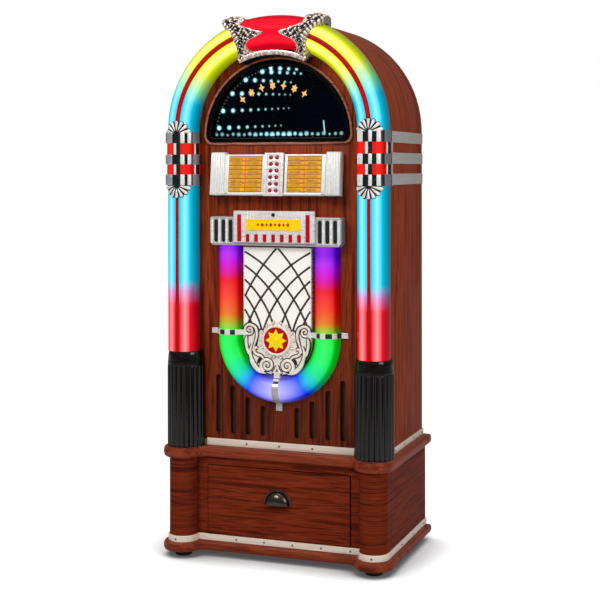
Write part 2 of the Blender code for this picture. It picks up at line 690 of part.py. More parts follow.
def band_section(tab, arm):
    """(u, y) outline of a band over the lower tube, with its tab outside and its arm to the casting."""
    inner = U_R + BAND_PLAY
    outer = inner + BAND_SKIN
    plate_back = GRILLE_STANDOFF + GAP
    plate_front = GRILLE_STANDOFF + CASTING_PLATE
    points = [(tab, 0.0), (tab, -BAND_TAB), (outer, -BAND_TAB)]
    meet = math.asin(plate_front / outer)
    points += arc((0.0, 0.0), outer, -math.asin(BAND_TAB / outer), meet - math.pi, 12)[1:]
    points += [(arm, -plate_front), (arm, -plate_back)]
    points += arc((0.0, 0.0), inner, math.asin(plate_back / inner) - math.pi, 0.0, 10)
    return points


# ---------------------------------------------------------------- loudspeakers and electronics
def works(root):
    front = PANEL_THICKNESS + GAP
    cloth = box((-CLOTH_HALF, CLOTH_HALF), (front, front + CLOTH_THICKNESS), (CLOTH_LOW, CLOTH_HIGH))
    place("speaker_cloth", cloth, CLOTH, root)

    seat = front + CLOTH_THICKNESS + GAP
    for side, suffix in ((-1, "left"), (1, "right")):
        profile = ((0.018, seat + 0.020), (0.056, seat), (0.064, seat), (0.064, seat + 0.005),
                   (0.058, seat + 0.006), (0.036, seat + 0.036), (0.036, seat + 0.056),
                   (0.018, seat + 0.056))
        speaker = turned(profile, (side * SPEAKER_X, SPEAKER_Z), 24, "Y")
        place("speaker_" + suffix, speaker, PAPER_CONE, root, smooth=True)

    floor = TOP_HIGH + GAP + SHELL_WALL + GAP
    half, (front, back) = AMPLIFIER_HALF, AMPLIFIER_Y
    chassis = place("amplifier", box((-half, half), (front, back), (floor, AMPLIFIER_TOP)), STEEL, root)
    width, behind = TERMINAL_HALF - 0.0005, BACK_PANEL[0] - 0.0005
    faceplate = box((-width, width), (back - 0.001, behind), (floor + 0.005, TERMINAL_HIGH - 0.0005))
    boolean(chassis, place("terminal_guide", faceplate, STEEL, root), "UNION")
    skin = AMPLIFIER_SHEET
    hollow = box((skin - half, half - skin), (front + skin, back - skin),
                 (floor - 0.01, AMPLIFIER_TOP - skin))
    boolean(chassis, place("chassis_hollow", hollow, STEEL, root), "DIFFERENCE")
    shroud = box((-INLET_HALF, INLET_HALF), (behind + GAP, behind + 0.0125), (INLET_LOW, INLET_HIGH))
    inlet = place("mains_inlet", shroud, BLACK_GLOSS, root)
    socket = box((-INLET_HALF / 2.0, INLET_HALF / 2.0), (behind + 0.0055, behind + 0.020),
                 (INLET_LOW + 0.0055, INLET_HIGH - 0.0055))
    boolean(inlet, place("inlet_socket", socket, BLACK_GLOSS, root), "DIFFERENCE")


# ---------------------------------------------------------------- storage stand
def stand_outline(overhang):
    """Plan of the stand's skin with its round corner posts, grown by overhang."""
    radius = POST_R + overhang
    right = [(POST_X - radius, STAND_FRONT - overhang)]
    right += arc((POST_X, POST_Y), radius, -math.pi, 0.0, POST_STEPS)
    return [(-x, y) for x, y in reversed(right)] + right


def board_outline(overhang):
    """Plan of a board: a lobe under each post, run into the front edge by a hollow curve."""
    radius = POST_R + overhang
    front = STAND_FRONT - overhang
    hollow = BOARD_HOLLOW + BOARD_OVERHANG - overhang
    rise = POST_Y - front + hollow
    run = math.sqrt((radius + hollow) ** 2 - rise ** 2)
    meet = math.atan2(rise, run)
    right = arc((POST_X - run, front - hollow), hollow, math.pi / 2.0, meet, 4)[:-1]
    right += arc((POST_X, POST_Y), radius, meet - math.pi, -math.pi / 2.0, POST_STEPS // 2)
    right += arc((POST_X, POST_Y), radius, -math.pi / 2.0, 0.0, POST_STEPS // 2)[1:]
    left = [(-x, y) for x, y in reversed(right)]
    half = STAND_HALF + overhang
    back = BOARD_BACK - BOARD_OVERHANG + overhang
    return left + right + [(half, back), (-half, back)]


def moulded_board(name, low, high, root):
    """Board with a bullnose edge all round."""
    steps = 5
    half_height = (high - low) / 2.0
    rings = []
    for index in range(steps + 1):
        angle = -math.pi / 2.0 + math.pi * index / steps
        bulge = BOARD_OVERHANG - 0.006 * (1.0 - math.cos(angle))
        height = low + half_height * (1.0 + math.sin(angle))
        rings.append([(x, y, height) for x, y in board_outline(bulge)])
    place(name, loft(rings), CHERRY, root, smooth=True)


def stand(root):
    moulded_board("stand_bottom", BOTTOM_LOW, BOTTOM_HIGH, root)
    moulded_board("stand_top", TOP_LOW, TOP_HIGH, root)

    low = BOTTOM_HIGH + GAP
    high = TOP_LOW - GAP
    for side, suffix in ((-1, "left"), (1, "right")):
        post = arc((POST_X, POST_Y), POST_R, -math.pi, 0.0, POST_STEPS)
        plan = post + [(STAND_HALF, STAND_BACK), (STAND_HALF - STAND_WALL, STAND_BACK),
                       (STAND_HALF - STAND_WALL, 0.006), (post[0][0], 0.006)]
        plan = [(side * x, y) for x, y in plan]
        place("stand_side_" + suffix, extruded([plan], low, high, "Z"), CHERRY, root, smooth=True)

    inside = STAND_HALF - STAND_WALL - GAP
    place("stand_back", box((-inside, inside), (STAND_BACK - 0.009, STAND_BACK), (low, high)), BOARD, root)

    reach = POST_X - POST_R - GAP
    outline = [(-reach, low), (reach, low), (reach, high), (-reach, high)]
    half = DRAWER_HALF + 0.002
    opening = [(-half, DRAWER_LOW - 0.002), (half, DRAWER_LOW - 0.002),
               (half, DRAWER_HIGH + 0.002), (-half, DRAWER_HIGH + 0.002)]
    rails = extruded([outline, opening], STAND_FRONT, STAND_FRONT + 0.018)
    place("face_frame", rails, CHERRY, root)

    for side, suffix in ((-1, "left"), (1, "right")):
        reach = sorted((side * (half + 0.001), side * (inside)))
        length = (0.0065, STAND_BACK - 0.0095)
        height = (RUNNER_LOW, RUNNER_LOW + RUNNER)
        bearer = box(reach, length, height)
        runner = place("runner_" + suffix, bearer, STEEL, root)
        tongue = sorted((side * (half - 0.0050), side * (half + 0.002)))
        rail = box(tongue, length, height)
        boolean(runner, place("runner_tongue_" + suffix, rail, STEEL, root), "UNION")

    for row, y in (("front", POST_Y), ("back", 0.300)):
        for side, suffix in ((-1, "left"), (1, "right")):
            profile = ((FOOT_R - 0.002, 0.0), (FOOT_R, 0.003), (FOOT_R, BOTTOM_LOW - GAP))
            foot = turned(profile, (side * POST_X, y), 20)
            place("foot_%s_%s" % (row, suffix), foot, RUBBER, root, smooth=True)


def lower_trim(root):
    """Cream metal band round the foot of the stand, open at the back."""
    outer = stand_outline(TRIM_THICKNESS)
    inner = stand_outline(GAP)
    back = STAND_BACK
    skirt = STAND_HALF + TRIM_THICKNESS
    outer = [(-skirt, back)] + outer + [(skirt, back)]
    inner = [(-STAND_HALF - GAP, back)] + inner + [(STAND_HALF + GAP, back)]
    band = extruded([outer + inner[::-1]], BOTTOM_HIGH + GAP, BOTTOM_HIGH + LOWER_TRIM_HEIGHT, "Z")
    place("lower_trim", band, CREAM_METAL, root, smooth=True)


def upper_trim(root):
    """Cream metal strip across the foot of the cabinet, with its pan-head screws."""
    low, high = TOP_HIGH + GAP, TOP_HIGH + UPPER_TRIM_HEIGHT
    face = -GAP - TRIM_THICKNESS
    metal = box((-UPPER_TRIM_HALF, UPPER_TRIM_HALF), (face, -GAP), (low, high))
    strip = place("upper_trim", metal, CREAM_METAL, root)
    middle = (low + high) / 2.0
    for index in range(5):
        x = (index - 2) * SCREW_PITCH
        head = turned(((0.0028, face + 0.001), (0.0028, face - 0.0014)), (x, middle), 8, "Y")
        boolean(strip, place("upper_screw_%d" % index, head, CREAM_METAL, root), "UNION")


def drawer(root):
    slide = empty("drawer_slide", (0.0, STAND_FRONT - DRAWER_PROUD, 0.0), root)
    face = box((-DRAWER_HALF, DRAWER_HALF), (0.0, DRAWER_FACE), (DRAWER_LOW, DRAWER_HIGH))
    place("drawer_front", face, CHERRY_PANEL, slide)

    half = DRAWER_HALF - 0.004
    start = DRAWER_FACE + GAP
    low = DRAWER_LOW + 0.010
    tub = box((-half, half), (start, start + DRAWER_BOX_DEPTH), (low, DRAWER_BOX_HIGH))
    obj = place("drawer_box", tub, BOARD, slide)
    hollow = box((-half + DRAWER_WALL, half - DRAWER_WALL),
                 (start + DRAWER_WALL, start + DRAWER_BOX_DEPTH - DRAWER_WALL),
                 (low + DRAWER_WALL, DRAWER_BOX_HIGH + 0.05))
    boolean(obj, place("drawer_hollow", hollow, BOARD, slide), "DIFFERENCE")
    groove = (RUNNER_LOW - RUNNER_PLAY, RUNNER_LOW + RUNNER + RUNNER_PLAY)
    for side in (-1, 1):
        reach = sorted((side * (half - 0.0028), side * (half + 0.01)))
        cut = box(reach, (start - 0.01, start + DRAWER_BOX_DEPTH + 0.01), groove)
        boolean(obj, place("drawer_groove_%d" % side, cut, BOARD, slide), "DIFFERENCE")

    place("cup_pull", cup_pull(), DARK_BRONZE, slide, smooth=True)


def cup_pull():
    """Half-dome shell, open below, on a thin back plate."""
    steps_round, steps_out = 12, 4
    outer, inner = [], []
    for scale, rings in ((1.0, outer), (0.90, inner)):
        for out in range(steps_out + 1):
            reach = math.pi / 2.0 * out / steps_out
            ring = []
            for index in range(steps_round + 1):
                angle = math.pi * index / steps_round
                x = PULL_HALF * scale * math.cos(reach) * math.cos(angle)
                z = PULL_RISE * scale * math.cos(reach) * math.sin(angle)
                y = -PULL_DEPTH * scale * math.sin(reach)
                ring.append((x, y - GAP, PULL_Z - PULL_DROP + z))
            rings.append(ring)
    bm = bmesh.new()
    made_outer = [[bm.verts.new(p) for p in ring] for ring in outer[:-1]]
    made_inner = [[bm.verts.new(p) for p in ring] for ring in inner[:-1]]
    outer_pole = bm.verts.new(outer[-1][0])
    inner_pole = bm.verts.new(inner[-1][0])
    for made, pole in ((made_outer, outer_pole), (made_inner, inner_pole)):
        for ring, following in zip(made, made[1:]):
            for index in range(steps_round):
                bm.faces.new((ring[index], ring[index + 1], following[index + 1], following[index]))
        for index in range(steps_round):
            bm.faces.new((made[-1][index], made[-1][index + 1], pole))
    for index in range(steps_round):
        bm.faces.new((made_outer[0][index], made_outer[0][index + 1],
                      made_inner[0][index + 1], made_inner[0][index]))
    for end in (0, steps_round):
        for row in range(len(made_outer) - 1):
            bm.faces.new((made_outer[row][end], made_outer[row + 1][end],
                          made_inner[row + 1][end], made_inner[row][end]))
        bm.faces.new((made_outer[-1][end], outer_pole, inner_pole, made_inner[-1][end]))
    return bm


# ---------------------------------------------------------------- assembly
def main():
    for obj in list(bpy.data.objects):
        bpy.data.objects.remove(obj, do_unlink=True)
    root = empty("jukebox", (0.0, -CENTRE_Y, 0.0))
    cabinet(root)
    window(root)
    light_tubes(root)
    crown(root)
    for side, suffix in ((-1, "left"), (1, "right")):
        grip(root, side, suffix)
        column(root, side, suffix)
    holder = lean_frame(root)
    title_rack(root, holder)
    selector(root, holder)
    control_bar(root)
    lower_tube(root)
    grille(root)
    grille_casting(root)
    works(root)
    stand(root)
    lower_trim(root)
    upper_trim(root)
    drawer(root)


main()
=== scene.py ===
"""Looks of the free-standing arch-top jukebox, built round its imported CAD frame.

Shapes are written in panel space: x right, z up, y = 0 on the front wood panel and
growing into the cabinet.  piece() moves each one into the frame's own coordinates.
"""
import math

import bmesh
import bpy
from mathutils import Matrix, Vector


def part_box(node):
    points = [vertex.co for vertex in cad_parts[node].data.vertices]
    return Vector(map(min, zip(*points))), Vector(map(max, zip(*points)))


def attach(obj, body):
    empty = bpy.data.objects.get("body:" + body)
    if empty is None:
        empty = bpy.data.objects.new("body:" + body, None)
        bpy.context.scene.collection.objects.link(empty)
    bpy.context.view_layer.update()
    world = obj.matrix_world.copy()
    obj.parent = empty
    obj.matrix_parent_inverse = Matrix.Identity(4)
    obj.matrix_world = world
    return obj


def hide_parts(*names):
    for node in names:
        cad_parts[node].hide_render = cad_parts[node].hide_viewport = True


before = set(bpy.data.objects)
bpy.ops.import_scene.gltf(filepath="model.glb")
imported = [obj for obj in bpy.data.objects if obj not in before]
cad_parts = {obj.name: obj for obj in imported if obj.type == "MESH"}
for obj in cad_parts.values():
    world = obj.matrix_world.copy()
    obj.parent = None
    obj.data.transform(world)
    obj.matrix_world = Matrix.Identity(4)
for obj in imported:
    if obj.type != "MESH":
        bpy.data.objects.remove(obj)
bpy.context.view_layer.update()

PANEL_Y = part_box("front_panel")[0].y

# ---------------------------------------------------------------- sizes shared with the CAD, metres
GAP = 0.0003
CABINET_HALF = 0.2922
CABINET_RISE = 0.0024
CABINET_DEPTH = 0.344
SHELL_WALL = 0.015
PANEL_THICKNESS = 0.015
ARCH_Z = 1.1245
BOARD_TOP = 0.289

TUBE_PATH = 0.2635
TUBE_DROP = 0.0073
TUBE_R = 0.042
TUBE_Y = -0.022
COLUMN_PATH, COLUMN_Y = 0.2615, -0.011
CROWN_HALF = math.radians(20.5)
CROWN_R, CROWN_SAG = 0.0435, 0.003
RAIL_LOW, RAIL_HIGH, RAIL_FRONT = 0.066, 0.0525, -0.052

GRIP_LOW, GRIP_HIGH = 0.979, 1.12
GRIP_BANDS = ((0.979, 1.0085), (1.034, 1.061), (1.09, 1.12))
STRAP_CENTRES = (0.9955, 1.05, 1.105)
COLUMN_TOP, COLLAR_LOW = 0.5415, 0.5045

WINDOW_X, WINDOW_Z, WINDOW_R, WINDOW_BOTTOM, WINDOW_CORNER = -0.005, 1.1073, 0.201, 1.0922, 0.02
TITLE_LOW, TITLE_HIGH, TITLE_HALF, TITLE_CAP = 0.951, 1.0675, 0.181, 0.041
TITLE_FRONT_LOW, TITLE_FRONT_HIGH = 0.04, 0.026
BUTTON_PITCH_X, BUTTON_PITCH_Z, BUTTON_R = 0.0168, 0.0172, 0.004

VENT_HALF, VENT_LOW, VENT_HIGH, VENT_DEPTH = 0.182, 0.823, 0.898, 0.037
VENT_SLOTS = (0.1235, 0.1441, 0.1647)
PLATE_HALF, PLATE_LOW, PLATE_HIGH = 0.1115, 0.8315, 0.9137

U_CENTRE_Z, U_PATH, U_R, U_TOP = 0.582, 0.134, 0.0345, 0.8225
GRILLE_HALF, GRILLE_TOP, GRILLE_Y = 0.0945, 0.8185, -0.0165
MEDALLION_Z = 0.578
SOUND_SLOTS = ((0.0475, 0.402), (0.0893, 0.4215), (0.1328, 0.45), (0.174, 0.4785))

STAND_HALF, STAND_FRONT, STAND_BACK = 0.301, -0.012, 0.342
POST_X, POST_Y, POST_R = 0.264, -0.024, 0.037
BOARD_OVERHANG, BOARD_HOLLOW, BOARD_BACK = 0.016, 0.016, 0.348
BOTTOM_LOW, BOTTOM_HIGH, TOP_LOW = 0.016, 0.039, 0.2625
DRAWER_HALF, DRAWER_LOW, DRAWER_HIGH = 0.1972, 0.0585, 0.2385
DRAWER_FACE_Y = -0.016
PULL_Z, PULL_HALF, PULL_RISE, PULL_DEPTH = 0.1515, 0.0345, 0.034, 0.021
DRAWER_FACE = 0.018
DRAWER_CLEAR = 0.002
SLOT_LOW, SLOT_R = 0.322, 0.007
BACK_SCREW_Y, BACK_SCREW_X = 0.3352, 0.262
BAND_Z, BAND_HALF = 0.595, 0.0072
SKIN = 0.0035

CAMERA_PLACE = (1.2439, -3.3803, 1.0212)
CAMERA_TURN = (math.pi / 2.0, 0.001, 0.3506)
CAMERA_LENS, CAMERA_SHIFT = 79.9, -0.2177
FRAME_HEIGHT, FRAME_WIDTH = 36.0, 22.0     # the width does not change this view, which is fitted to its height
LIGHT_AIM = (0.0, 0.0, 0.9)
LIGHTS = (("key", (-0.9, -3.0, 2.9), 1.2, 55.0), ("fill", (2.9, -1.7, 1.9), 1.6, 33.0),
          ("top", (0.2, -0.4, 3.4), 2.0, 14.0))

TAU = 2.0 * math.pi
SIDES = ((-1, "left"), (1, "right"))


def srgb(red, green, blue):
    """Linear colour from 0-255 display values."""
    out = []
    for value in (red, green, blue):
        share = value / 255.0
        out.append(share / 12.92 if share <= 0.04045 else ((share + 0.055) / 1.055) ** 2.4)
    return (*out, 1.0)


# ---------------------------------------------------------------- materials
class Tree:
    """A small helper that adds nodes to a tree and links them."""

    def __init__(self, tree):
        self.tree = tree

    def node(self, kind, **values):
        made = self.tree.nodes.new("ShaderNode" + kind)
        for key, value in values.items():
            setattr(made, key, value)
        return made

    def link(self, source, target):
        self.tree.links.new(source, target)

    def coords(self, scale=(1.0, 1.0, 1.0), source="Object"):
        """Texture coordinates, from the object or from a named attribute of its mesh."""
        mapping = self.node("Mapping")
        mapping.inputs["Scale"].default_value = scale
        if source == "Object":
            place = self.node("TexCoord").outputs["Object"]
        else:
            place = self.node("Attribute", attribute_name=source).outputs["Vector"]
        self.link(place, mapping.inputs["Vector"])
        return mapping.outputs["Vector"]

    def split(self, vector):
        made = self.node("SeparateXYZ")
        self.link(vector, made.inputs["Vector"])
        return made.outputs

    def noise(self, vector, scale, detail=4.0, distortion=0.0, roughness=0.55):
        made = self.node("TexNoise")
        self.link(vector, made.inputs["Vector"])
        made.inputs["Scale"].default_value = scale
        made.inputs["Detail"].default_value = detail
        made.inputs["Roughness"].default_value = roughness
        made.inputs["Distortion"].default_value = distortion
        return made.outputs["Fac"]

    def ramp(self, factor, stops):
        made = self.node("ValToRGB")
        elements = made.color_ramp.elements
        elements[0].position, elements[0].color = stops[0]
        elements[1].position, elements[1].color = stops[-1]
        for position, colour in stops[1:-1]:
            elements.new(position).color = colour
        self.link(factor, made.inputs["Fac"])
        return made.outputs["Color"]

    def feed(self, *pairs):
        """Give each socket its number or colour, or link another socket to it."""
        for value, socket in pairs:
            if isinstance(value, (tuple, float, int)):
                socket.default_value = value
            else:
                self.link(value, socket)

    def mix(self, factor, first, second, blend="MIX"):
        made = self.node("Mix", data_type="RGBA", blend_type=blend)
        self.feed((factor, made.inputs[0]), (first, made.inputs[6]), (second, made.inputs[7]))
        return made.outputs[2]

    def math(self, operation, first, second=0.5):
        made = self.node("Math", operation=operation)
        self.feed((first, made.inputs[0]), (second, made.inputs[1]))
        return made.outputs[0]


class Nodes(Tree):
    """The tree of a new material round its Principled shader."""

    def __init__(self, name):
        self.material = bpy.data.materials.new(name)
        self.material.use_nodes = True
        super().__init__(self.material.node_tree)
        self.shader = self.tree.nodes["Principled BSDF"]
        self.output = self.tree.nodes["Material Output"]

    def set(self, **values):
        for key, value in values.items():
            self.shader.inputs[key.replace("_", " ")].default_value = value

    def bump(self, height, strength, distance=0.001):
        made = self.node("Bump")
        made.inputs["Strength"].default_value = strength
        made.inputs["Distance"].default_value = distance
        self.link(height, made.inputs["Height"])
        self.link(made.outputs["Normal"], self.shader.inputs["Normal"])

    def colour(self, socket):
        self.link(socket, self.shader.inputs["Base Color"])

    def rough(self, factor, low, high):
        made = self.node("MapRange")
        made.inputs["To Min"].default_value = low
        made.inputs["To Max"].default_value = high
        self.link(factor, made.inputs["Value"])
        self.link(made.outputs["Result"], self.shader.inputs["Roughness"])


def grey(value):
    return (value, value, value, 1.0)


def wood(name, along, dark, mid, light, source="Object", figure=1.0, gloss=0.1, waver=0.9, across=70.0,
         shade=None):
    """Varnished wood: streaks along one axis or two, fine dark pores, and an optional painted shade by
    height.
    """
    made = Nodes(name)
    wide, fine = [across] * 3, [420.0] * 3
    for axis in along:
        wide["XYZ".index(axis)] = 3.2 * figure
        fine["XYZ".index(axis)] = 16.0
    streaks = made.noise(made.coords(wide, source), 1.0, 6.0, waver * figure, 0.62)
    broad = made.noise(made.coords([v * 0.22 for v in wide], source), 1.0, 3.0, 1.6 * figure, 0.5)
    pores = made.noise(made.coords(fine, source), 1.0, 3.0, 0.2, 0.7)
    blend = made.math("ADD", made.math("MULTIPLY", streaks, 0.62), made.math("MULTIPLY", broad, 0.38))
    colour = made.ramp(blend, [(0.3, dark), (0.43, mid), (0.53, light), (0.6, mid), (0.72, dark)])
    specks = made.ramp(pores, [(0.36, grey(0.3)), (0.47, grey(1.0))])
    colour = made.mix(0.55, colour, specks, "MULTIPLY")
    # painted shade: the colour is multiplied by a ramp on height, darkening the lower part where less light
    # falls
    if shade:
        height = made.split(made.coords())["Z"]
        colour = made.mix(1.0, colour, made.ramp(height, shade), "MULTIPLY")
    made.colour(colour)
    made.rough(streaks, 0.26, 0.44)
    made.bump(pores, 0.1, 0.0004)
    made.set(Specular_IOR_Level=gloss)
    return made.material


def plain(name, colour, roughness=0.4, metallic=0.0, wear=0.08, scale=60.0, bump=0.04, **extra):
    """A moulded or painted finish with faint mottling and fine surface grain."""
    made = Nodes(name)
    drift = made.noise(made.coords(), scale, 5.0)
    fine = made.noise(made.coords(), scale * 14.0, 3.0)
    low = tuple(c * (1.0 - wear) for c in colour[:3]) + (1.0,)
    high = tuple(min(1.0, c * (1.0 + wear)) for c in colour[:3]) + (1.0,)
    made.colour(made.ramp(drift, [(0.35, low), (0.65, high)]))
    made.rough(drift, max(0.02, roughness - 0.06), roughness + 0.08)
    made.bump(fine, bump, 0.0003)
    made.set(Metallic=metallic, **extra)
    return made.material


def chrome(name, colour, roughness, metallic=1.0, recess=None):
    """Bright plating with faint smears; a recess attribute paints shade on the low parts of a relief."""
    made = Nodes(name)
    smear = made.noise(made.coords((22.0, 22.0, 140.0)), 1.0, 4.0)
    low = tuple(c * 0.86 for c in colour[:3]) + (1.0,)
    base = made.ramp(smear, [(0.3, low), (0.7, colour)])
    if recess:
        # painted shade: where the relief value is low the colour is darkened nearly to black
        depth = made.node("Attribute", attribute_name="relief").outputs["Fac"]
        shade = made.ramp(depth, [(recess[0], srgb(22, 18, 17)), (recess[1], grey(1.0))])
        base = made.mix(1.0, base, shade, "MULTIPLY")
    made.colour(base)
    made.rough(smear, roughness, roughness + 0.12)
    made.bump(made.noise(made.coords(), 500.0, 2.0), 0.03, 0.0002)
    made.set(Metallic=metallic)
    return made.material


def brushed(name, colour, along, roughness=0.32, metallic=0.85):
    """Brushed metal with streaks along one axis."""
    made = Nodes(name)
    scale = [900.0] * 3
    scale["XYZ".index(along)] = 14.0
    lines = made.noise(made.coords(scale), 1.0, 4.0)
    low = tuple(c * 0.72 for c in colour[:3]) + (1.0,)
    made.colour(made.ramp(lines, [(0.3, low), (0.7, colour)]))
    made.rough(lines, roughness, roughness + 0.2)
    made.bump(lines, 0.12, 0.0003)
    made.set(Metallic=metallic)
    return made.material


def glowing(name, stops, length, strength, core, rim=0.14, lines=True, gloss=0.12):
    """Lit acrylic: the colour follows the tube's length; two lines, or all of its middle, are whitened as
    lamp hot spots with painted highlight, and its sides are dimmed as painted shade.
    """
    made = Nodes(name)
    split = made.split(made.node("Attribute", attribute_name="glow").outputs["Vector"])
    along = made.math("DIVIDE", split["X"], length)
    wander = made.noise(made.coords(source="glow"), 9.0, 2.0)
    shifted = made.math("ADD", along, made.math("MULTIPLY", made.math("SUBTRACT", wander, 0.5), 0.02))
    hue = made.ramp(shifted, stops)
    around = made.math("ABSOLUTE", split["Y"])
    # painted shade: the U tube's colour deepens and darkens towards its sides
    if not lines:
        deep = made.mix(1.0, hue, hue, "MULTIPLY")
        hue = made.mix(made.ramp(around, [(0.12, grey(0.0)), (0.62, grey(1.0))]), hue, deep)
    # painted shade: the glow dims towards the sides of the tube
    shade = made.ramp(around, [(0.4, grey(1.0)), (0.47, grey(0.74)), (0.58, grey(0.46)),
                               (0.8, grey(rim * 1.6)), (1.0, grey(rim))])
    # the whitened lines: lamp hot spots and painted highlights
    pair = [(0.09, grey(0.0)), (0.19, grey(0.55)), (0.267, grey(1.0)), (0.345, grey(0.5)), (0.44, grey(0.0))]
    line = made.ramp(around, pair if lines else [(0.0, grey(1.0)), (0.2, grey(0.7)), (0.5, grey(0.0))])
    white = made.mix(1.0, line, grey(core), "MULTIPLY")
    lit = made.mix(1.0, made.mix(1.0, hue, shade, "MULTIPLY"), white, "ADD")
    made.link(lit, made.shader.inputs["Emission Color"])
    made.colour(made.mix(0.94, hue, grey(0.0)))
    made.rough(wander, 0.16, 0.26)
    made.set(Emission_Strength=strength, Specular_IOR_Level=gloss)
    return made.material


# painted shade: the front board's wood is darkened towards the bottom by height
CHERRY_V = wood("cherry_upright", "Z", srgb(50, 15, 6), srgb(113, 39, 17), srgb(164, 66, 30),
                shade=[(0.4, grey(0.47)), (0.66, grey(1.0))])
CHERRY_SIDE = wood("cherry_side", "Z", srgb(80, 30, 17), srgb(126, 54, 35), srgb(152, 72, 48), "grain",
                   gloss=0.004)
CHERRY_H = wood("cherry_level", "X", srgb(56, 18, 9), srgb(98, 34, 17), srgb(134, 52, 28), figure=1.8,
                gloss=0.01, waver=0.5, across=120.0)
CHERRY_POST = wood("cherry_post", "XY", srgb(48, 15, 8), srgb(90, 31, 16), srgb(128, 48, 25), figure=1.3,
                   gloss=0.01, waver=0.4, across=130.0)
CHERRY_EDGE = wood("cherry_edge", "X", srgb(70, 27, 15), srgb(112, 42, 22), srgb(150, 64, 38))
BEAD_WOOD = wood("cherry_bead", "X", srgb(112, 52, 34), srgb(150, 84, 62), srgb(190, 122, 98), figure=2.0)
BOARD = plain("fibreboard_back", srgb(120, 84, 52), 0.8, wear=0.25, scale=220.0, bump=0.2)
PLY = wood("drawer_ply", "Y", srgb(150, 112, 70), srgb(186, 146, 98), srgb(206, 170, 122))
BLACK = plain("black_gloss_lacquer", srgb(4, 4, 7), 0.25, wear=0.3, Specular_IOR_Level=0.08)
RIBBED = plain("ribbed_black_plastic", srgb(10, 6, 4), 0.12, wear=0.3, bump=0.02, Specular_IOR_Level=0.42)
PIT = plain("vent_black", srgb(7, 7, 8), 0.7, wear=0.2)
CHROME = chrome("bright_chrome", srgb(236, 235, 238), 0.1)
DARK_CHROME = chrome("shaded_chrome", srgb(70, 72, 74), 0.22)
# painted shade between the fan's blades, set by the relief value
FAN_CHROME = chrome("fan_chrome", srgb(250, 248, 246), 0.3, 0.35, recess=(0.5, 0.72))
# lit and shaded copies of the rib plating and a dark gap colour: painted highlight and painted shade on the
# grips
RIB_BRIGHT = plain("rib_bright", srgb(250, 248, 244), 0.25, 0.25, wear=0.04, bump=0.01)
RIB_SHADED = plain("rib_shaded", srgb(196, 196, 204), 0.25, 0.55, wear=0.06, bump=0.01)
GAP_PAINTED_SHADE = plain("rib_gap_painted_shade", srgb(34, 40, 40), 0.25, 0.5, wear=0.3, bump=0.02)
CHEEK_STEEL = plain("cheek_steel", srgb(138, 140, 150), 0.35, 0.5, wear=0.12, scale=200.0, bump=0.03)
# tarnished silver with painted shade in the clasps' hollows
SILVER = chrome("aged_silver_painted_shade", srgb(242, 222, 210), 0.26, 0.7, recess=(0.33, 0.82))
PEARL_SILVER = plain("pearl_casting", srgb(255, 238, 226), 0.34, 0.15, wear=0.1, scale=160.0)
LATTICE = chrome("lattice_metal", srgb(86, 76, 70), 0.3)
# painted shadow: dark strips under the lattice, round the scrolls and behind the title cards
SHADOW_LINE = plain("painted_shadow_line", srgb(30, 25, 23), 0.5, 0.4, wear=0.3)
STRAP_STEEL = brushed("strap_steel", srgb(202, 197, 194), "Y", metallic=0.25)
BAR_STEEL = brushed("vent_steel", srgb(204, 198, 196), "X", 0.32, 0.55)
RACK_STEEL = brushed("rack_steel", srgb(255, 252, 248), "Z", 0.26, 0.2)
CREAM = brushed("cream_trim", srgb(255, 238, 220), "X", 0.3, 0.1)
BRONZE = chrome("dark_bronze_pull", srgb(84, 76, 70), 0.16)
SCREW = chrome("screw_head", srgb(120, 108, 98), 0.35)
RUBBER = plain("foot_rubber", srgb(20, 20, 20), 0.7, wear=0.3, bump=0.2)
RED_DARK = plain("red_inlay", srgb(186, 8, 16), 0.35, wear=0.12, Specular_IOR_Level=0.12)
BUTTON_RED = plain("button_red", srgb(138, 16, 36), 0.25, wear=0.15, Coat_Weight=0.3)
STRIPE = plain("stripe_red", srgb(170, 20, 12), 0.3, wear=0.15,
               Specular_IOR_Level=0.1, Emission_Color=srgb(170, 14, 16), Emission_Strength=0.12)
# painted glow: the yellow label and star are given a faint emission though they are no lamps
YELLOW = plain("label_yellow", srgb(255, 206, 4), 0.5, wear=0.05,
               Specular_IOR_Level=0.1, Emission_Color=srgb(255, 196, 0), Emission_Strength=0.1)
STAR_YELLOW = plain("star_yellow", srgb(255, 216, 14), 0.4, wear=0.1,
                    Specular_IOR_Level=0.2, Emission_Color=srgb(255, 206, 0), Emission_Strength=0.1)
AMBER = plain("amber_card", srgb(240, 170, 50), 0.5, wear=0.14, scale=90.0, Specular_IOR_Level=0.2)
AMBER_DARK = plain("amber_groove", srgb(128, 80, 20), 0.5, wear=0.2)
ORANGE = plain("orange_divider", srgb(240, 120, 34), 0.4, wear=0.1)
PINK_WHITE = plain("selector_face", srgb(238, 220, 220), 0.3, 0.2, wear=0.08, scale=200.0)
# painted glow: the pearl grille and the gold motif are given emission though they are no lamps, to lift their
# brightness
PEARL = plain("pearl_grille", srgb(255, 249, 240), 0.4, 0.0, wear=0.06, scale=300.0, bump=0.2,
              Emission_Color=srgb(255, 244, 232), Emission_Strength=0.1)
GOLD = plain("gold_motif", srgb(222, 168, 100), 0.35, 0.0, wear=0.2, scale=240.0,
             Emission_Color=srgb(226, 168, 92), Emission_Strength=0.55)
CLOTH = plain("speaker_cloth_dark", srgb(66, 42, 28), 0.9, wear=0.4, scale=900.0, bump=0.5)
CONE = plain("speaker_paper", srgb(30, 30, 32), 0.8, wear=0.2)
CIRCUIT = plain("circuit_green", srgb(20, 92, 52), 0.5, wear=0.2)
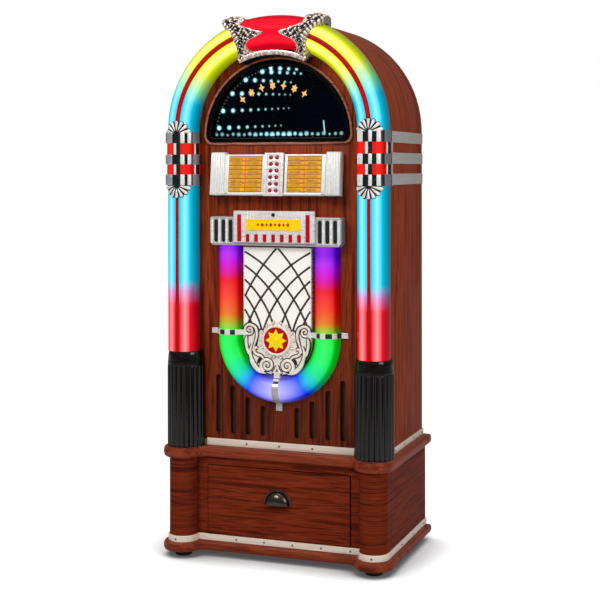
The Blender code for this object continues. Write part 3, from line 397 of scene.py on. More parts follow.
# painted reflection: the mirror dish is a matte near-black navy standing for the dark depths it reflects
MIRROR_PAINTED_DARK = plain("mirror_navy_painted_reflection", srgb(0, 5, 18), 0.35, wear=0.5, scale=14.0, bump=0.01,
                    Specular_IOR_Level=0.02)
RIB_WHITE = chrome("rib_plating", srgb(252, 248, 246), 0.22, 0.3)


def lamp_material():
    """Small lamps behind the glass and their mirror images, painted as glowing dots: a white heart that fades
    through teal to nothing.
    """
    made = Nodes("mirror_lamp_and_painted_reflection_glow")
    split = made.split(made.node("Attribute", attribute_name="glow").outputs["Vector"])
    tint = made.ramp(split["X"], [(0.0, srgb(0, 0, 0)), (0.3, srgb(2, 40, 52)),
                                   (0.62, srgb(90, 205, 205)), (0.85, srgb(240, 255, 252))])
    bright = made.node("CombineXYZ")
    for axis in "XYZ":
        made.link(split["Y"], bright.inputs[axis])
    made.link(made.mix(1.0, tint, bright.outputs["Vector"], "MULTIPLY"), made.shader.inputs["Emission Color"])
    made.colour(made.ramp(made.noise(made.coords(), 300.0),
                          [(0.3, srgb(2, 6, 14)), (0.7, srgb(4, 12, 24))]))
    made.set(Roughness=0.3, Emission_Strength=1.25, Specular_IOR_Level=0.1)
    return made.material


def glass_material():
    """Half-silvered smoked glass over the mirror dish."""
    made = Nodes("smoked_window_glass")
    clear = made.node("BsdfTransparent")
    clear.inputs["Color"].default_value = srgb(238, 246, 250)
    gloss = made.node("BsdfGlossy")
    gloss.inputs["Color"].default_value = grey(0.12)
    gloss.inputs["Roughness"].default_value = 0.03
    fresnel = made.node("Fresnel")
    fresnel.inputs["IOR"].default_value = 1.35
    blend = made.node("MixShader")
    made.link(fresnel.outputs["Fac"], blend.inputs["Fac"])
    made.link(clear.outputs[0], blend.inputs[1])
    made.link(gloss.outputs[0], blend.inputs[2])
    made.link(blend.outputs[0], made.output.inputs["Surface"])
    made.tree.nodes.remove(made.shader)
    return made.material


LAMP = lamp_material()
GLASS = glass_material()

TUBE_LENGTH = ARCH_Z + TUBE_PATH * math.pi / 2.0
RED_GLOW, CYAN_GLOW = srgb(246, 14, 40), srgb(8, 210, 250)
YELLOW_GLOW = srgb(236, 250, 20)
TUBE_GLOW = glowing("lit_tube", [
    (0.54 / TUBE_LENGTH, RED_GLOW), (0.665 / TUBE_LENGTH, RED_GLOW),
    (0.7 / TUBE_LENGTH, srgb(196, 120, 190)), (0.728 / TUBE_LENGTH, CYAN_GLOW),
    (1.205 / TUBE_LENGTH, CYAN_GLOW), (1.25 / TUBE_LENGTH, srgb(150, 248, 170)),
    (1.3 / TUBE_LENGTH, YELLOW_GLOW), (1.0, srgb(240, 250, 10))], TUBE_LENGTH, 1.0, 0.32)
U_LENGTH = U_PATH * math.pi / 2.0 + U_TOP - U_CENTRE_Z
U_GLOW = glowing("lit_u_tube", [
    (0.0, srgb(198, 194, 255)), (0.1, srgb(142, 146, 254)), (0.16, srgb(44, 104, 248)),
    (0.205, srgb(6, 190, 224)), (0.26, srgb(14, 226, 160)), (0.34, srgb(26, 244, 112)),
    (0.5, srgb(40, 240, 84)),
    (0.555, srgb(190, 180, 36)), (0.6, srgb(232, 120, 34)), (0.69, srgb(244, 74, 46)),
    (0.8, srgb(236, 14, 44)), (0.86, srgb(216, 0, 178)), (0.91, srgb(206, 16, 226)),
    (0.95, srgb(184, 44, 240)), (1.0, srgb(146, 14, 228))], U_LENGTH, 1.0, 0.022, 0.22, False)
CROWN_GLOW = glowing("lit_crown", [(0.0, srgb(246, 14, 40)), (1.0, srgb(246, 14, 40))], 1.0, 1.1, 0.01, 0.4,
                     gloss=0.02)
GRIP_GLOW = glowing("lit_grip_lens", [(0.0, srgb(246, 30, 14)), (1.0, srgb(238, 22, 12))], 1.0, 0.85, 0.02,
                    0.25, gloss=0.06)


# ---------------------------------------------------------------- mesh helpers
def piece(name, bm, materials, body="body", replaces=(), angle=38.0, turn=None):
    """Turn a bmesh of panel space into a piece that rides on a body."""
    bmesh.ops.remove_doubles(bm, verts=bm.verts[:], dist=2e-6)
    bmesh.ops.dissolve_degenerate(bm, edges=bm.edges[:], dist=1e-6)
    bmesh.ops.recalc_face_normals(bm, faces=bm.faces[:])
    if turn is not None:
        bmesh.ops.transform(bm, matrix=turn, verts=bm.verts[:])
    bmesh.ops.translate(bm, verts=bm.verts[:], vec=(0.0, PANEL_Y, 0.0))
    mesh = bpy.data.meshes.new(name)
    bm.to_mesh(mesh)
    bm.free()
    mesh.shade_smooth()
    mesh.set_sharp_from_angle(angle=math.radians(angle))
    for material in materials:
        mesh.materials.append(material)
    obj = bpy.data.objects.new(name, mesh)
    bpy.context.scene.collection.objects.link(obj)
    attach(obj, body)
    if replaces:
        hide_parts(*replaces)
    return obj


def merge(target, source, index=0):
    """Add one bmesh to another with a material index."""
    for face in source.faces:
        face.material_index = index
    mesh = bpy.data.meshes.new("part")
    source.to_mesh(mesh)
    source.free()
    target.from_mesh(mesh)
    bpy.data.meshes.remove(mesh)
    return target


def gathered(*parts):
    """One bmesh from several (bmesh, material index) pairs."""
    whole = bmesh.new()
    for part, index in parts:
        merge(whole, part, index)
    return whole


UPRIGHT = Matrix(((1, 0, 0, 0), (0, 0, -1, 0), (0, 1, 0, 0), (0, 0, 0, 1)))


def plate(loops, low, high, bevel=0.0, steps=2):
    """Plate with holes and rounded edges, from outlines in x and z, between two depths."""
    curve = bpy.data.curves.new("outline", "CURVE")
    curve.dimensions = "2D"
    curve.fill_mode = "BOTH"
    curve.extrude = (high - low) / 2.0 - bevel
    curve.bevel_depth = bevel
    curve.bevel_resolution = steps
    curve.offset = -bevel
    for loop in loops:
        spline = curve.splines.new("POLY")
        spline.points.add(len(loop) - 1)
        for point, (u, v) in zip(spline.points, loop):
            point.co = (u, v, 0.0, 1.0)
        spline.use_cyclic_u = True
    holder = bpy.data.objects.new("outline", curve)
    bpy.context.scene.collection.objects.link(holder)
    mesh = bpy.data.meshes.new_from_object(holder)
    bm = bmesh.new()
    bm.from_mesh(mesh)
    bpy.data.objects.remove(holder)
    bpy.data.curves.remove(curve)
    bpy.data.meshes.remove(mesh)
    bmesh.ops.remove_doubles(bm, verts=bm.verts[:], dist=1e-6)
    bmesh.ops.transform(bm, matrix=UPRIGHT, verts=bm.verts[:])
    bmesh.ops.translate(bm, verts=bm.verts[:], vec=(0.0, (low + high) / 2.0, 0.0))
    return bm


def rectangle(left, right, low, high, corner=0.0, steps=4):
    if corner <= 0.0:
        return [(left, low), (right, low), (right, high), (left, high)]
    points = []
    for u, v, start in ((right, low, -90.0), (right, high, 0.0), (left, high, 90.0), (left, low, 180.0)):
        centre = (u - math.copysign(corner, u - (left + right) / 2.0),
                  v - math.copysign(corner, v - (low + high) / 2.0))
        points += arc(centre, corner, math.radians(start), math.radians(start + 90.0), steps)
    return points


def block(x, y, z, bevel=0.001, steps=2):
    """Rounded block from three ranges."""
    return plate([rectangle(*x, *z)], *y, bevel, steps)


def arc(centre, radius, start, end, steps):
    return [(centre[0] + radius * math.cos(start + (end - start) * i / steps),
             centre[1] + radius * math.sin(start + (end - start) * i / steps)) for i in range(steps + 1)]


def circle(centre, radius, steps=32):
    return arc(centre, radius, 0.0, TAU, steps)[:-1]


def stadium(x, low, high, radius, steps=10):
    points = arc((x, high - radius), radius, 0.0, math.pi, steps)
    return points + arc((x, low + radius), radius, math.pi, TAU, steps)


def loft(rings, glow=None):
    """Body through a row of equal rings, with optional glow values at each point."""
    bm = bmesh.new()
    light = bm.verts.layers.float_vector.new("glow") if glow else None
    made = [[bm.verts.new(point) for point in ring] for ring in rings]
    if light:
        for line, values in zip(made, glow):
            for vert, value in zip(line, values):
                vert[light] = value
    for ring, following in zip(made, made[1:]):
        stitch(bm, ring, following)
    bm.faces.new(made[0])
    bm.faces.new(made[-1])
    return bm


def stitch(bm, ring, following):
    """Faces between two closed rings of vertices."""
    for index in range(len(ring)):
        after = (index + 1) % len(ring)
        bm.faces.new((ring[index], ring[after], following[after], following[index]))


def turned(profile, centre, segments=40):
    """Solid of revolution round a level axis, from (radius, y) pairs."""
    return loft([[(x, y, z) for x, z in circle(centre, radius, segments)] for radius, y in profile])


def slab(top, bottom, relief):
    """Closed relief: two grids of points with a wall round their edge and a relief value on each."""
    bm = bmesh.new()
    depth = bm.verts.layers.float.new("relief")
    grids = []
    for points, flat in ((top, False), (bottom, True)):
        grid = []
        for row, line in enumerate(points):
            made = []
            for column, point in enumerate(line):
                vert = bm.verts.new(point)
                vert[depth] = 0.0 if flat else relief[row][column]
                made.append(vert)
            grid.append(made)
        grids.append(grid)
    rows, columns = len(top), len(top[0])
    for grid in grids:
        for row in range(rows - 1):
            for column in range(columns - 1):
                bm.faces.new((grid[row][column], grid[row][column + 1],
                              grid[row + 1][column + 1], grid[row + 1][column]))
    edge = [(0, c) for c in range(columns)] + [(r, columns - 1) for r in range(1, rows)]
    edge += [(rows - 1, c) for c in range(columns - 2, -1, -1)] + [(r, 0) for r in range(rows - 2, 0, -1)]
    for first, second in zip(edge, edge[1:] + edge[:1]):
        bm.faces.new((grids[0][first[0]][first[1]], grids[0][second[0]][second[1]],
                      grids[1][second[0]][second[1]], grids[1][first[0]][first[1]]))
    return bm


def relief_body(columns, rows, cell):
    """Relief from cell(column, row), which gives the points above and below and the relief value."""
    grids = ([], [], [])
    for column in range(columns + 1):
        cells = [cell(column, row) for row in range(rows + 1)]
        for grid, line in zip(grids, zip(*cells)):
            grid.append(line)
    return slab(*grids)


def ribbon(points, widths, height, face, sides=6, droop=1.0):
    """Half-round bar that follows a path over a plane y = face and stands off towards the viewer."""
    rings = []
    last = len(points) - 1
    for index, (x, z) in enumerate(points):
        before, after = points[max(index - 1, 0)], points[min(index + 1, last)]
        run, rise = after[0] - before[0], after[1] - before[1]
        length = math.hypot(run, rise) or 1.0
        across = (-rise / length, run / length)
        share = index / last
        width = widths(share) if callable(widths) else widths
        ring = []
        for step in range(sides + 1):
            angle = math.pi * step / sides
            offset = width * math.cos(angle)
            lift = height * (math.sin(angle) ** droop) * min(1.0, width / 0.0012)
            ring.append((x + across[0] * offset, face - lift, z + across[1] * offset))
        ring.append((x, face + 0.0004, z))
        rings.append(ring)
    return loft(rings)


def spiral(centre, start_radius, end_radius, start_angle, turns, steps=40):
    points = []
    for index in range(steps + 1):
        share = index / steps
        radius = start_radius + (end_radius - start_radius) * share
        angle = math.radians(start_angle) + TAU * turns * share
        points.append((centre[0] + radius * math.cos(angle), centre[1] + radius * math.sin(angle)))
    return points


def smooth_path(controls, steps=10):
    """Catmull-Rom curve through control points."""
    points = []
    padded = [controls[0]] + list(controls) + [controls[-1]]
    for p0, p1, p2, p3 in zip(padded, padded[1:], padded[2:], padded[3:]):
        for index in range(steps):
            t = index / steps
            point = []
            for a, b, c, d in zip(p0, p1, p2, p3):
                point.append(0.5 * (2 * b + (c - a) * t + (2 * a - 5 * b + 4 * c - d) * t * t
                                    + (3 * b - a - 3 * c + d) * t ** 3))
            points.append(tuple(point))
    points.append(tuple(controls[-1]))
    return points


def both(bm):
    """A bmesh together with its reflection in the plane x = 0."""
    other = bm.copy()
    bmesh.ops.scale(other, verts=other.verts[:], vec=(-1.0, 1.0, 1.0))
    bmesh.ops.reverse_faces(other, faces=other.faces[:])
    return gathered((bm, 0), (other, 0))


def on_side(side, near, far):
    """Range of x between two distances from the middle, on one side of it."""
    return sorted((side * near, side * far))


# ---------------------------------------------------------------- the tubes' path and section
def phi_ends(radius, y=TUBE_Y, path=TUBE_PATH):
    """Where a cover of this radius meets the front panel and the cabinet's side."""
    lift = -GAP - y
    start = math.atan2(lift, -math.sqrt(radius ** 2 - lift ** 2)) + math.pi / 2.0 - TAU
    edge = CABINET_HALF - path + GAP
    return start, math.atan2(math.sqrt(radius ** 2 - edge ** 2), edge) + math.pi / 2.0


def around(phi, radius):
    """(u, y) of a point round the tube: phi is 0 at the front and grows outwards."""
    return radius * math.sin(phi), TUBE_Y - radius * math.cos(phi)


def upright(side, height):
    return lambda u, y: (side * (TUBE_PATH + u), y, height)


def arched(angle):
    """Station on the arch; the angle is measured from the vertical, to the right."""
    return lambda u, y: ((TUBE_PATH + u) * math.sin(angle), y,
                         ARCH_Z + (TUBE_PATH - TUBE_DROP + u) * math.cos(angle))


def station(side, length):
    """Station at a distance from the floor along the tube."""
    if length <= ARCH_Z:
        return upright(side, length)
    return arched(side * (math.pi / 2.0 - (length - ARCH_Z) / TUBE_PATH))


def tube_cover(stops, radius, wall, steps=44, ends=None):
    """Hollow cover over (station, glow length) stops."""
    start, end = ends or phi_ends(radius)
    rings, glow = [], []
    for place, length in stops:
        ring, values = [], []
        for reach, order in ((radius, 1), (radius - wall, -1)):
            for index in range(steps + 1)[::order]:
                phi = start + (end - start) * index / steps
                ring.append(place(*around(phi, reach)))
                values.append((length, phi / math.radians(105.0), 0.0))
        rings.append(ring)
        glow.append(values)
    return loft(rings, glow)


def wrap_bar(stops, phi, half, radius, height, sides=8):
    """Half-round bar along the tube's skin, from (station, scale) stops."""
    rings = []
    for place, scale in stops:
        ring = []
        for index in range(sides + 1):
            angle = math.pi * index / sides
            turn = phi - half * math.cos(angle) * (0.6 + 0.4 * scale)
            ring.append(place(*around(turn, radius + height * scale * math.sin(angle))))
        ring.append(place(*around(phi, radius - 0.0012)))
        rings.append(ring)
    return loft(rings)


def rounded_stops(side, low, high):
    """Stations with scales that round off a bar's two ends."""
    ease = 0.003
    ends = [(low + ease * share, math.sqrt(max(0.04, 1.0 - (1.0 - share) ** 2)))
            for share in (0.0, 0.35, 0.7, 1.0)]
    return [(upright(side, level), scale) for level, scale in ends] \
        + [(upright(side, low + high - level), scale) for level, scale in reversed(ends)]


def arch_outline(half, bottom, steps=96):
    return [(-half, bottom), (half, bottom)] + arc((0.0, ARCH_Z), half, 0.0, math.pi, steps)


def window_outline(inset, steps=88):
    radius, corner = WINDOW_R - inset, WINDOW_CORNER - inset * 0.6
    bottom = WINDOW_BOTTOM + inset
    lift = math.asin((bottom + corner - WINDOW_Z) / (radius - corner))
    side = (radius - corner) * math.cos(lift)
    points = arc((WINDOW_X + side, bottom + corner), corner, -math.pi / 2.0, lift, 10)
    points += arc((WINDOW_X, WINDOW_Z), radius, lift, math.pi - lift, steps)[1:-1]
    return points + arc((WINDOW_X - side, bottom + corner), corner, math.pi - lift, 1.5 * math.pi, 10)


def u_outline(half, top, steps=56):
    return [(half, top), (-half, top)] + arc((0.0, U_CENTRE_Z), half, math.pi, TAU, steps)


# ---------------------------------------------------------------- cabinet
def cabinet():
    low = BOARD_TOP + GAP
    inner = CABINET_HALF - SHELL_WALL
    soft = 0.0022
    section = [(inner, CABINET_DEPTH - 0.0005), (inner, 0.0005), (CABINET_HALF - soft, 0.0),
               (CABINET_HALF - soft * 0.3, soft * 0.3), (CABINET_HALF, soft),
               (CABINET_HALF, CABINET_DEPTH - soft), (CABINET_HALF - soft * 0.3, CABINET_DEPTH - soft * 0.3),
               (CABINET_HALF - soft, CABINET_DEPTH)]
    rings, grain = [], []
    path = [(1, z) for z in (low, 0.6, 0.9)]
    path += [(0, math.pi / 2.0 - math.pi * step / 120) for step in range(121)]
    path += [(-1, z) for z in (0.9, 0.6, low)]
    for side, value in path:
        ring, values = [], []
        for radius, y in section:
            if side:
                ring.append((side * radius, y, value))
                run = value if side > 0 else 2.0 * ARCH_Z + math.pi * CABINET_HALF - value
            else:
                ring.append((radius * math.sin(value), y, ARCH_Z + (radius + CABINET_RISE) * math.cos(value)))
                run = ARCH_Z + (math.pi / 2.0 - value) * CABINET_HALF
            values.append((y, radius, run))
        rings.append(ring)
        grain.append(values)
    floor = block((-inner, inner), (0.0005, CABINET_DEPTH - 0.001), (low, low + SHELL_WALL), 0.0)
    wrap = piece("cabinet_wrap", loft(rings, grain), [CHERRY_SIDE], replaces=["cabinet_shell"])
    wrap.data.attributes["glow"].name = "grain"
    piece("cabinet_floor", floor, [PLY])

    fit = inner - GAP
    holes = [window_outline(0.0118), u_outline(0.08, 0.8)]
    for x, top in SOUND_SLOTS:
        for side in (-1, 1):
            holes.append(stadium(side * x, SLOT_LOW, top, SLOT_R))
    face = plate([arch_outline(fit, low + SHELL_WALL + GAP)] + holes, 0.0, PANEL_THICKNESS, 0.0012)
    piece("front_board", face, [CHERRY_V], replaces=["front_panel"])

    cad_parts["back_panel"].data.materials[0] = BOARD
    screws = bmesh.new()
    for angle in range(0, 181, 30):
        x = BACK_SCREW_X * math.cos(math.radians(angle))
        z = ARCH_Z + BACK_SCREW_X * math.sin(math.radians(angle))
        merge(screws, screw_head(x, BACK_SCREW_Y, z, -1, 0.0042))
    for z in (0.36, 0.55, 0.74, 0.93):
        for side in (-1, 1):
            merge(screws, screw_head(side * BACK_SCREW_X, BACK_SCREW_Y, z, -1, 0.0042))
    piece("back_screws", screws, [SCREW])


def screw_head(x, y, z, facing=1, radius=0.0032, tall=0.0014):
    """Pan head with a cross slot; facing 1 looks out of the front, -1 out of the back."""
    rings = [(radius * 0.98, 0.0), (radius, tall * 0.35), (radius * 0.8, tall * 0.8), (radius * 0.45, tall),
             (radius * 0.3, tall * 0.55)]
    return turned([(r, y - facing * h) for r, h in rings], (x, z), 20)


def window():
    bezel = plate([window_outline(0.0), window_outline(0.0135)], -0.0085, -GAP, 0.004, steps=5)
    piece("window_surround", bezel, [BLACK], replaces=["window_bezel"])
    bead = plate([window_outline(-0.0065), window_outline(0.0004)], -0.0062, -GAP, 0.0028, steps=4)
    piece("window_bead", bead, [BEAD_WOOD])
    glass = plate([window_outline(0.0125)], GAP, 0.004, 0.0004)
    piece("window_pane", glass, [GLASS], replaces=["window_glass"])

    rim = 0.004 + GAP
    dish = gathered((plate([window_outline(0.0125), window_outline(0.0165)], rim, rim + 0.044, 0.0), 0),
                    (plate([window_outline(0.0126)], rim + 0.042, rim + 0.045, 0.0), 0),
                    (plate([window_outline(0.0166)], rim + 0.01, rim + 0.013, 0.0), 0))
    # the dish carries the painted dark reflection in place of a mirror
    piece("mirror_dish", dish, [MIRROR_PAINTED_DARK], replaces=["mirror_tray"])

    floor_y = rim + 0.0095
    lamps = bmesh.new()
    glow = lamps.verts.layers.float_vector.new("glow")

    def lamp(x, z, radius, bright):
        rings = []
        for share, value in ((0.0, 1.0), (0.36, 0.92), (0.55, 0.55), (1.0, 0.0)):
            ring = []
            for step in range(14):
                angle = TAU * step / 14
                place = (x + radius * share * math.cos(angle), floor_y - 0.0008 * (1.0 - share),
                         z + radius * share * math.sin(angle))
                vert = lamps.verts.new(place)
                vert[glow] = (value, bright, 0.0)
                ring.append(vert)
            rings.append(ring)
        for ring, following in zip(rings, rings[1:]):
            stitch(lamps, ring, following)

    # rows of dots that shrink and fade: painted reflections of the lamps in the mirror
    for x, z, count, pitch, climb in (
            (-0.177, 1.1315, 9, 0.0295, 0.0006), (-0.1654, 1.1768, 10, 0.0288, 0.0005),
            (-0.1385, 1.2225, 9, 0.0274, -0.0008), (-0.1001, 1.258, 7, 0.0262, -0.0016),
            (-0.053, 1.2785, 6, 0.0256, -0.0016), (-0.0291, 1.2868, 4, 0.0262, -0.0014)):
        for index in range(count):
            fade = 0.82 ** index
            size = 0.0026 + 0.0088 * fade * (1.0 if index % 2 else 0.88)
            lamp(x, z + climb * index, size, 0.18 + 0.95 * fade)
            x += pitch
            pitch *= 0.915
    for index in range(23):
        middle = math.exp(-((index - 11.5) / 5.5) ** 2)
        lamp(-0.184 + 0.0159 * index, 1.1136 + 0.0012 * math.sin(index * 2.4),
             0.007 + 0.0036 * middle + 0.0018 * math.sin(index * 2.1), 0.4 + 0.45 * middle)
    for index in range(26):
        angle = math.radians(176.0 - 3.2 * index)
        reach = WINDOW_R - 0.0205
        lamp(WINDOW_X + reach * math.cos(angle), WINDOW_Z + reach * math.sin(angle), 0.004, 0.08)
    for index in range(10):
        lamp(0.1202 - 0.0003 * index, 1.1176 + 0.0032 * index, 0.0032, 0.85)
    piece("mirror_lamps_and_painted_reflections", lamps, [LAMP])

    motif = bmesh.new()
    for index in range(7):
        turn = math.radians(-41.0 + 12.35 * index)
        centre = (WINDOW_X - 0.004 + 0.1438 * math.sin(turn), 1.0969 + 0.1438 * math.cos(turn))
        points, pinch = (8, 0.42) if index % 2 == 0 else (12, 0.6)
        outline = []
        for step in range(points):
            angle = TAU * step / points
            pull = 1.0 if step % 2 == 0 else pinch
            u, v = 0.0088 * pull * math.sin(angle), 0.0118 * pull * math.cos(angle)
            outline.append((centre[0] + u * math.cos(turn) + v * math.sin(turn),
                            centre[1] - u * math.sin(turn) + v * math.cos(turn)))
        merge(motif, plate([outline], rim - 0.0046, rim - 0.004, 0.0002))
    piece("window_motif", motif, [GOLD])


# ---------------------------------------------------------------- lit tubes
def lit_tubes():
    for side, suffix in SIDES:
        top = TUBE_LENGTH - CROWN_HALF * TUBE_PATH
        lengths = [COLUMN_TOP + GAP, 0.62, 0.68, 0.74, 0.9, 1.03, ARCH_Z]
        lengths += [ARCH_Z + (top - ARCH_Z) * step / 40 for step in range(1, 41)]
        stops = [(station(side, length), length) for length in lengths]
        piece("lit_tube_" + suffix, tube_cover(stops, TUBE_R, 0.003), [TUBE_GLOW],
              replaces=["light_tube_" + suffix])

        stripe = bmesh.new()
        for low, high in ((COLUMN_TOP, 0.95), (1.14, top - 0.002)):
            count = 2 if high < ARCH_Z else 36
            stops = [(station(side, low + (high - low) * step / count), low) for step in range(count + 1)]
            half = math.radians(6.4 if high < ARCH_Z else 8.6)
            merge(stripe, tube_cover(stops, TUBE_R + 0.0012, 0.0011, 8, (-half, half)))
        piece("tube_stripe_" + suffix, stripe, [STRIPE])


def smooth(value):
    """Smooth step from 0 to 1."""
    value = min(1.0, max(0.0, value))
    return value * value * (3.0 - 2.0 * value)


def crown():
    def sagged(angle):
        place, sag = arched(angle), CROWN_SAG * math.cos(math.pi / 2.0 * angle / CROWN_HALF)
        return lambda u, y: place(u - sag, y)

    angles = [CROWN_HALF * (2.0 * step / 40 - 1.0) for step in range(41)]
    piece("crown_dome", tube_cover([(sagged(angle), 0.5) for angle in angles], CROWN_R, 0.003), [CROWN_GLOW],
          replaces=["crown_lens"])

    start, end = (math.degrees(limit) for limit in phi_ends(CROWN_R))
    inner_edge = ((start, 9.0), (-88.0, 13.0), (-74.0, 15.2), (-56.0, 16.8), (-40.0, 16.7), (-28.0, 15.6),
                  (-20.0, 12.0), (-14.5, 7.8), (-8.0, 3.9), (-3.0, 3.8), (4.0, 7.4), (9.0, 9.4), (20.0, 13.0),
                  (30.0, 16.0), (40.0, 16.4), (80.0, 15.6), (end, 15.6))

    def between(phi, table):
        for (a, low), (b, high) in zip(table, table[1:]):
            if phi <= b:
                return low + (high - low) * (phi - a) / (b - a)
        return table[-1][1]

    def clasp(column, row):
        phi = start + (end - start) * column / 170
        inner = between(phi, inner_edge) + 0.8 * abs(math.sin(math.radians(phi * 13.0)))
        outer = 23.2 + 3.4 * smooth((abs(phi + 4.0) - 22.0) / 45.0)
        lift = 0.0052 + 0.0108 * smooth((phi - 28.0) / 40.0) + 0.0175 * math.exp(-((phi + 66.0) / 19.0) ** 2)
        share = row / 30
        angle = inner + (outer - inner) * share
        vein = math.sin(math.radians(phi * 11.0 + share * 190.0) + 1.4 * math.sin(angle * 1.1 + phi * 0.05))
        frond = math.sin(angle * 1.9 + 1.6 * math.sin(phi * 0.21)) \
            * math.cos(phi * 0.37 + 1.2 * math.sin(angle * 0.8))
        # where this mask is low the relief sinks and takes painted shade, standing in for open work
        openwork_shade_mask = min(1.0, max(0.0, 0.62 + 0.75 * frond))
        lip = math.exp(-((share - 0.09) / 0.07) ** 2)
        twist = abs(math.sin(math.radians(phi * 16.0 + share * 420.0)))
        rope = smooth((share - 0.74) / 0.08) * (0.12 + 0.8 * twist)
        leaf = 0.92 * abs(vein) ** 0.6 * openwork_shade_mask * (1.0 - smooth((share - 0.7) / 0.08))
        level = min(1.0, 0.08 + leaf + 0.9 * lip + rope)
        if row == 30:
            level = 0.3 + 0.5 * abs(math.sin(math.radians(phi * 20.0 + 300.0)))
        edge = min(1.0, share / 0.06, (1.0 - share) / 0.04)
        high = CROWN_R + 0.001 + edge * (lift * (0.25 + 0.75 * smooth(share / 0.55)) + 0.0046 * level)
        place, turn = sagged(math.radians(angle)), math.radians(phi)
        return place(*around(turn, high)), place(*around(turn, CROWN_R - 0.0004)), level

    def rail(step, index):
        place = arched(math.radians(-26.4 + 52.8 * step / 220))
        rope = 0.76 + 0.24 * math.sin(step / 3.1 + 2.0 * math.sin(step / 11.0))
        share = index / 10
        # the rail's relief value sets both its height and its painted shade
        level = (0.3 + 0.7 * rope) * math.sin(math.pi * share) ** 0.5
        if share >= 0.62:
            level = 0.95 - 1.6 * (share - 0.8) ** 2
        level = min(1.0, max(0.05, level))
        u = -RAIL_LOW + (RAIL_LOW - RAIL_HIGH) * share
        return place(u, RAIL_FRONT - 0.0055 * level), place(u + 0.004 * share, -0.01), level

    casting = merge(both(relief_body(170, 30, clasp)), relief_body(220, 10, rail))
    piece("crown_clasps", casting, [SILVER], replaces=["crown_casting"], angle=50.0)


def grips():
    """Angles here are turned from the front towards the viewer's right on both tubes."""
    # the ribs are placed apart on each tube, and the left tube's wide rib takes the shaded copy: painted
    # highlight and painted shade
    ribs = {-1: ((-45.0, 29.0, 3), (20.0, 7.5, 0), (43.5, 7.0, 0)),
            1: ((-34.0, 14.0, 0), (5.5, 6.2, 0), (33.0, 7.6, 0))}
    cheeks = {-1: (54.0, 84.0), 1: (53.0, 84.0)}
    for side, suffix in SIDES:
        parts = []
        for low, high in GRIP_BANDS:
            stops = [(upright(side, low + 0.0006), 0.0), (upright(side, high - 0.0006), 0.0)]
            # dark sleeve under the ribs: painted shade between them
            parts.append((tube_cover(stops, TUBE_R + 0.004, 0.0012), 1))
            for turn, half, index in ribs[side]:
                bar = wrap_bar(rounded_stops(side, low, high), math.radians(side * turn), math.radians(half),
                               TUBE_R + 0.0032, 0.004, 12)
                parts.append((bar, index))
            reach = sorted(math.radians(side * turn) for turn in cheeks[side])
            stops = [(upright(side, low), 0.0), (upright(side, high), 0.0)]
            cheek = tube_cover(stops, TUBE_R + 0.0056, 0.002, 16, reach)
            parts.append((cheek, 2))
        for low, high in ((GRIP_BANDS[0][1], GRIP_BANDS[1][0]), (GRIP_BANDS[1][1], GRIP_BANDS[2][0])):
            ends = (low - 0.0004, high + 0.0004)
            # each divider is a bright strip beside a dark one: painted highlight and painted shade on one bar
            for first, last, index in ((-10.0, -1.0, 0), (-0.8, 12.0, 1), (62.0, 67.0, 0), (67.2, 84.0, 1)):
                reach = sorted(math.radians(side * turn) for turn in (first, last))
                stops = [(upright(side, level), 1.0) for level in ends]
                parts.append((tube_cover(stops, TUBE_R + 0.0046, 0.0022, 8, reach), index))
        for level, direction in ((GRIP_HIGH - 0.005, 1.0), (GRIP_LOW + 0.0006, -1.0)):
            parts.append((fan(side, level, direction), 4))
        piece("grip_clasp_" + suffix, gathered(*parts),
              [RIB_BRIGHT, GAP_PAINTED_SHADE, CHEEK_STEEL, RIB_SHADED, FAN_CHROME], replaces=["grip_" + suffix])

        skin = on_side(side, CABINET_HALF + GAP, CABINET_HALF + 0.0016)
        straps = block(skin, (0.0285, 0.05), (GRIP_LOW, GRIP_HIGH), 0.0005)
        for height in STRAP_CENTRES:
            merge(straps, block(skin, (0.051, CABINET_DEPTH), (height - 0.0145, height + 0.0145), 0.0005))
        piece("side_straps_" + suffix, straps, [STRAP_STEEL])

        stops = [(upright(side, level), 0.5) for level in (GRIP_LOW + 0.008, 1.02, 1.07, GRIP_HIGH - 0.008)]
        piece("grip_window_" + suffix, tube_cover(stops, TUBE_R + 0.0026, 0.0022), [GRIP_GLOW],
              replaces=["grip_lens_" + suffix])


def fan(side, level, direction):
    """Half-round fan of raised blades that lies on the tube."""
    def blade(ray, row):
        turn, share = math.pi * ray / 98, row / 10
        wave = abs(math.sin(7 * turn))
        far = (0.0405 - 0.0055 * math.sin(turn)) * (0.84 + 0.16 * wave ** 0.5)
        distance = 0.0005 + far * share
        phi = distance * math.cos(turn) / (TUBE_R + 0.003)
        swell = min(1.0, 0.25 + share * 1.6) * min(1.0, (1.0 - share) / 0.1 + 0.15)
        value = wave ** 0.8 * swell
        place = upright(side, level + direction * distance * math.sin(turn))
        return (place(*around(phi, TUBE_R + 0.0016 + 0.006 * value)), place(*around(phi, TUBE_R + 0.0004)),
                value)

    return relief_body(98, 10, blade)


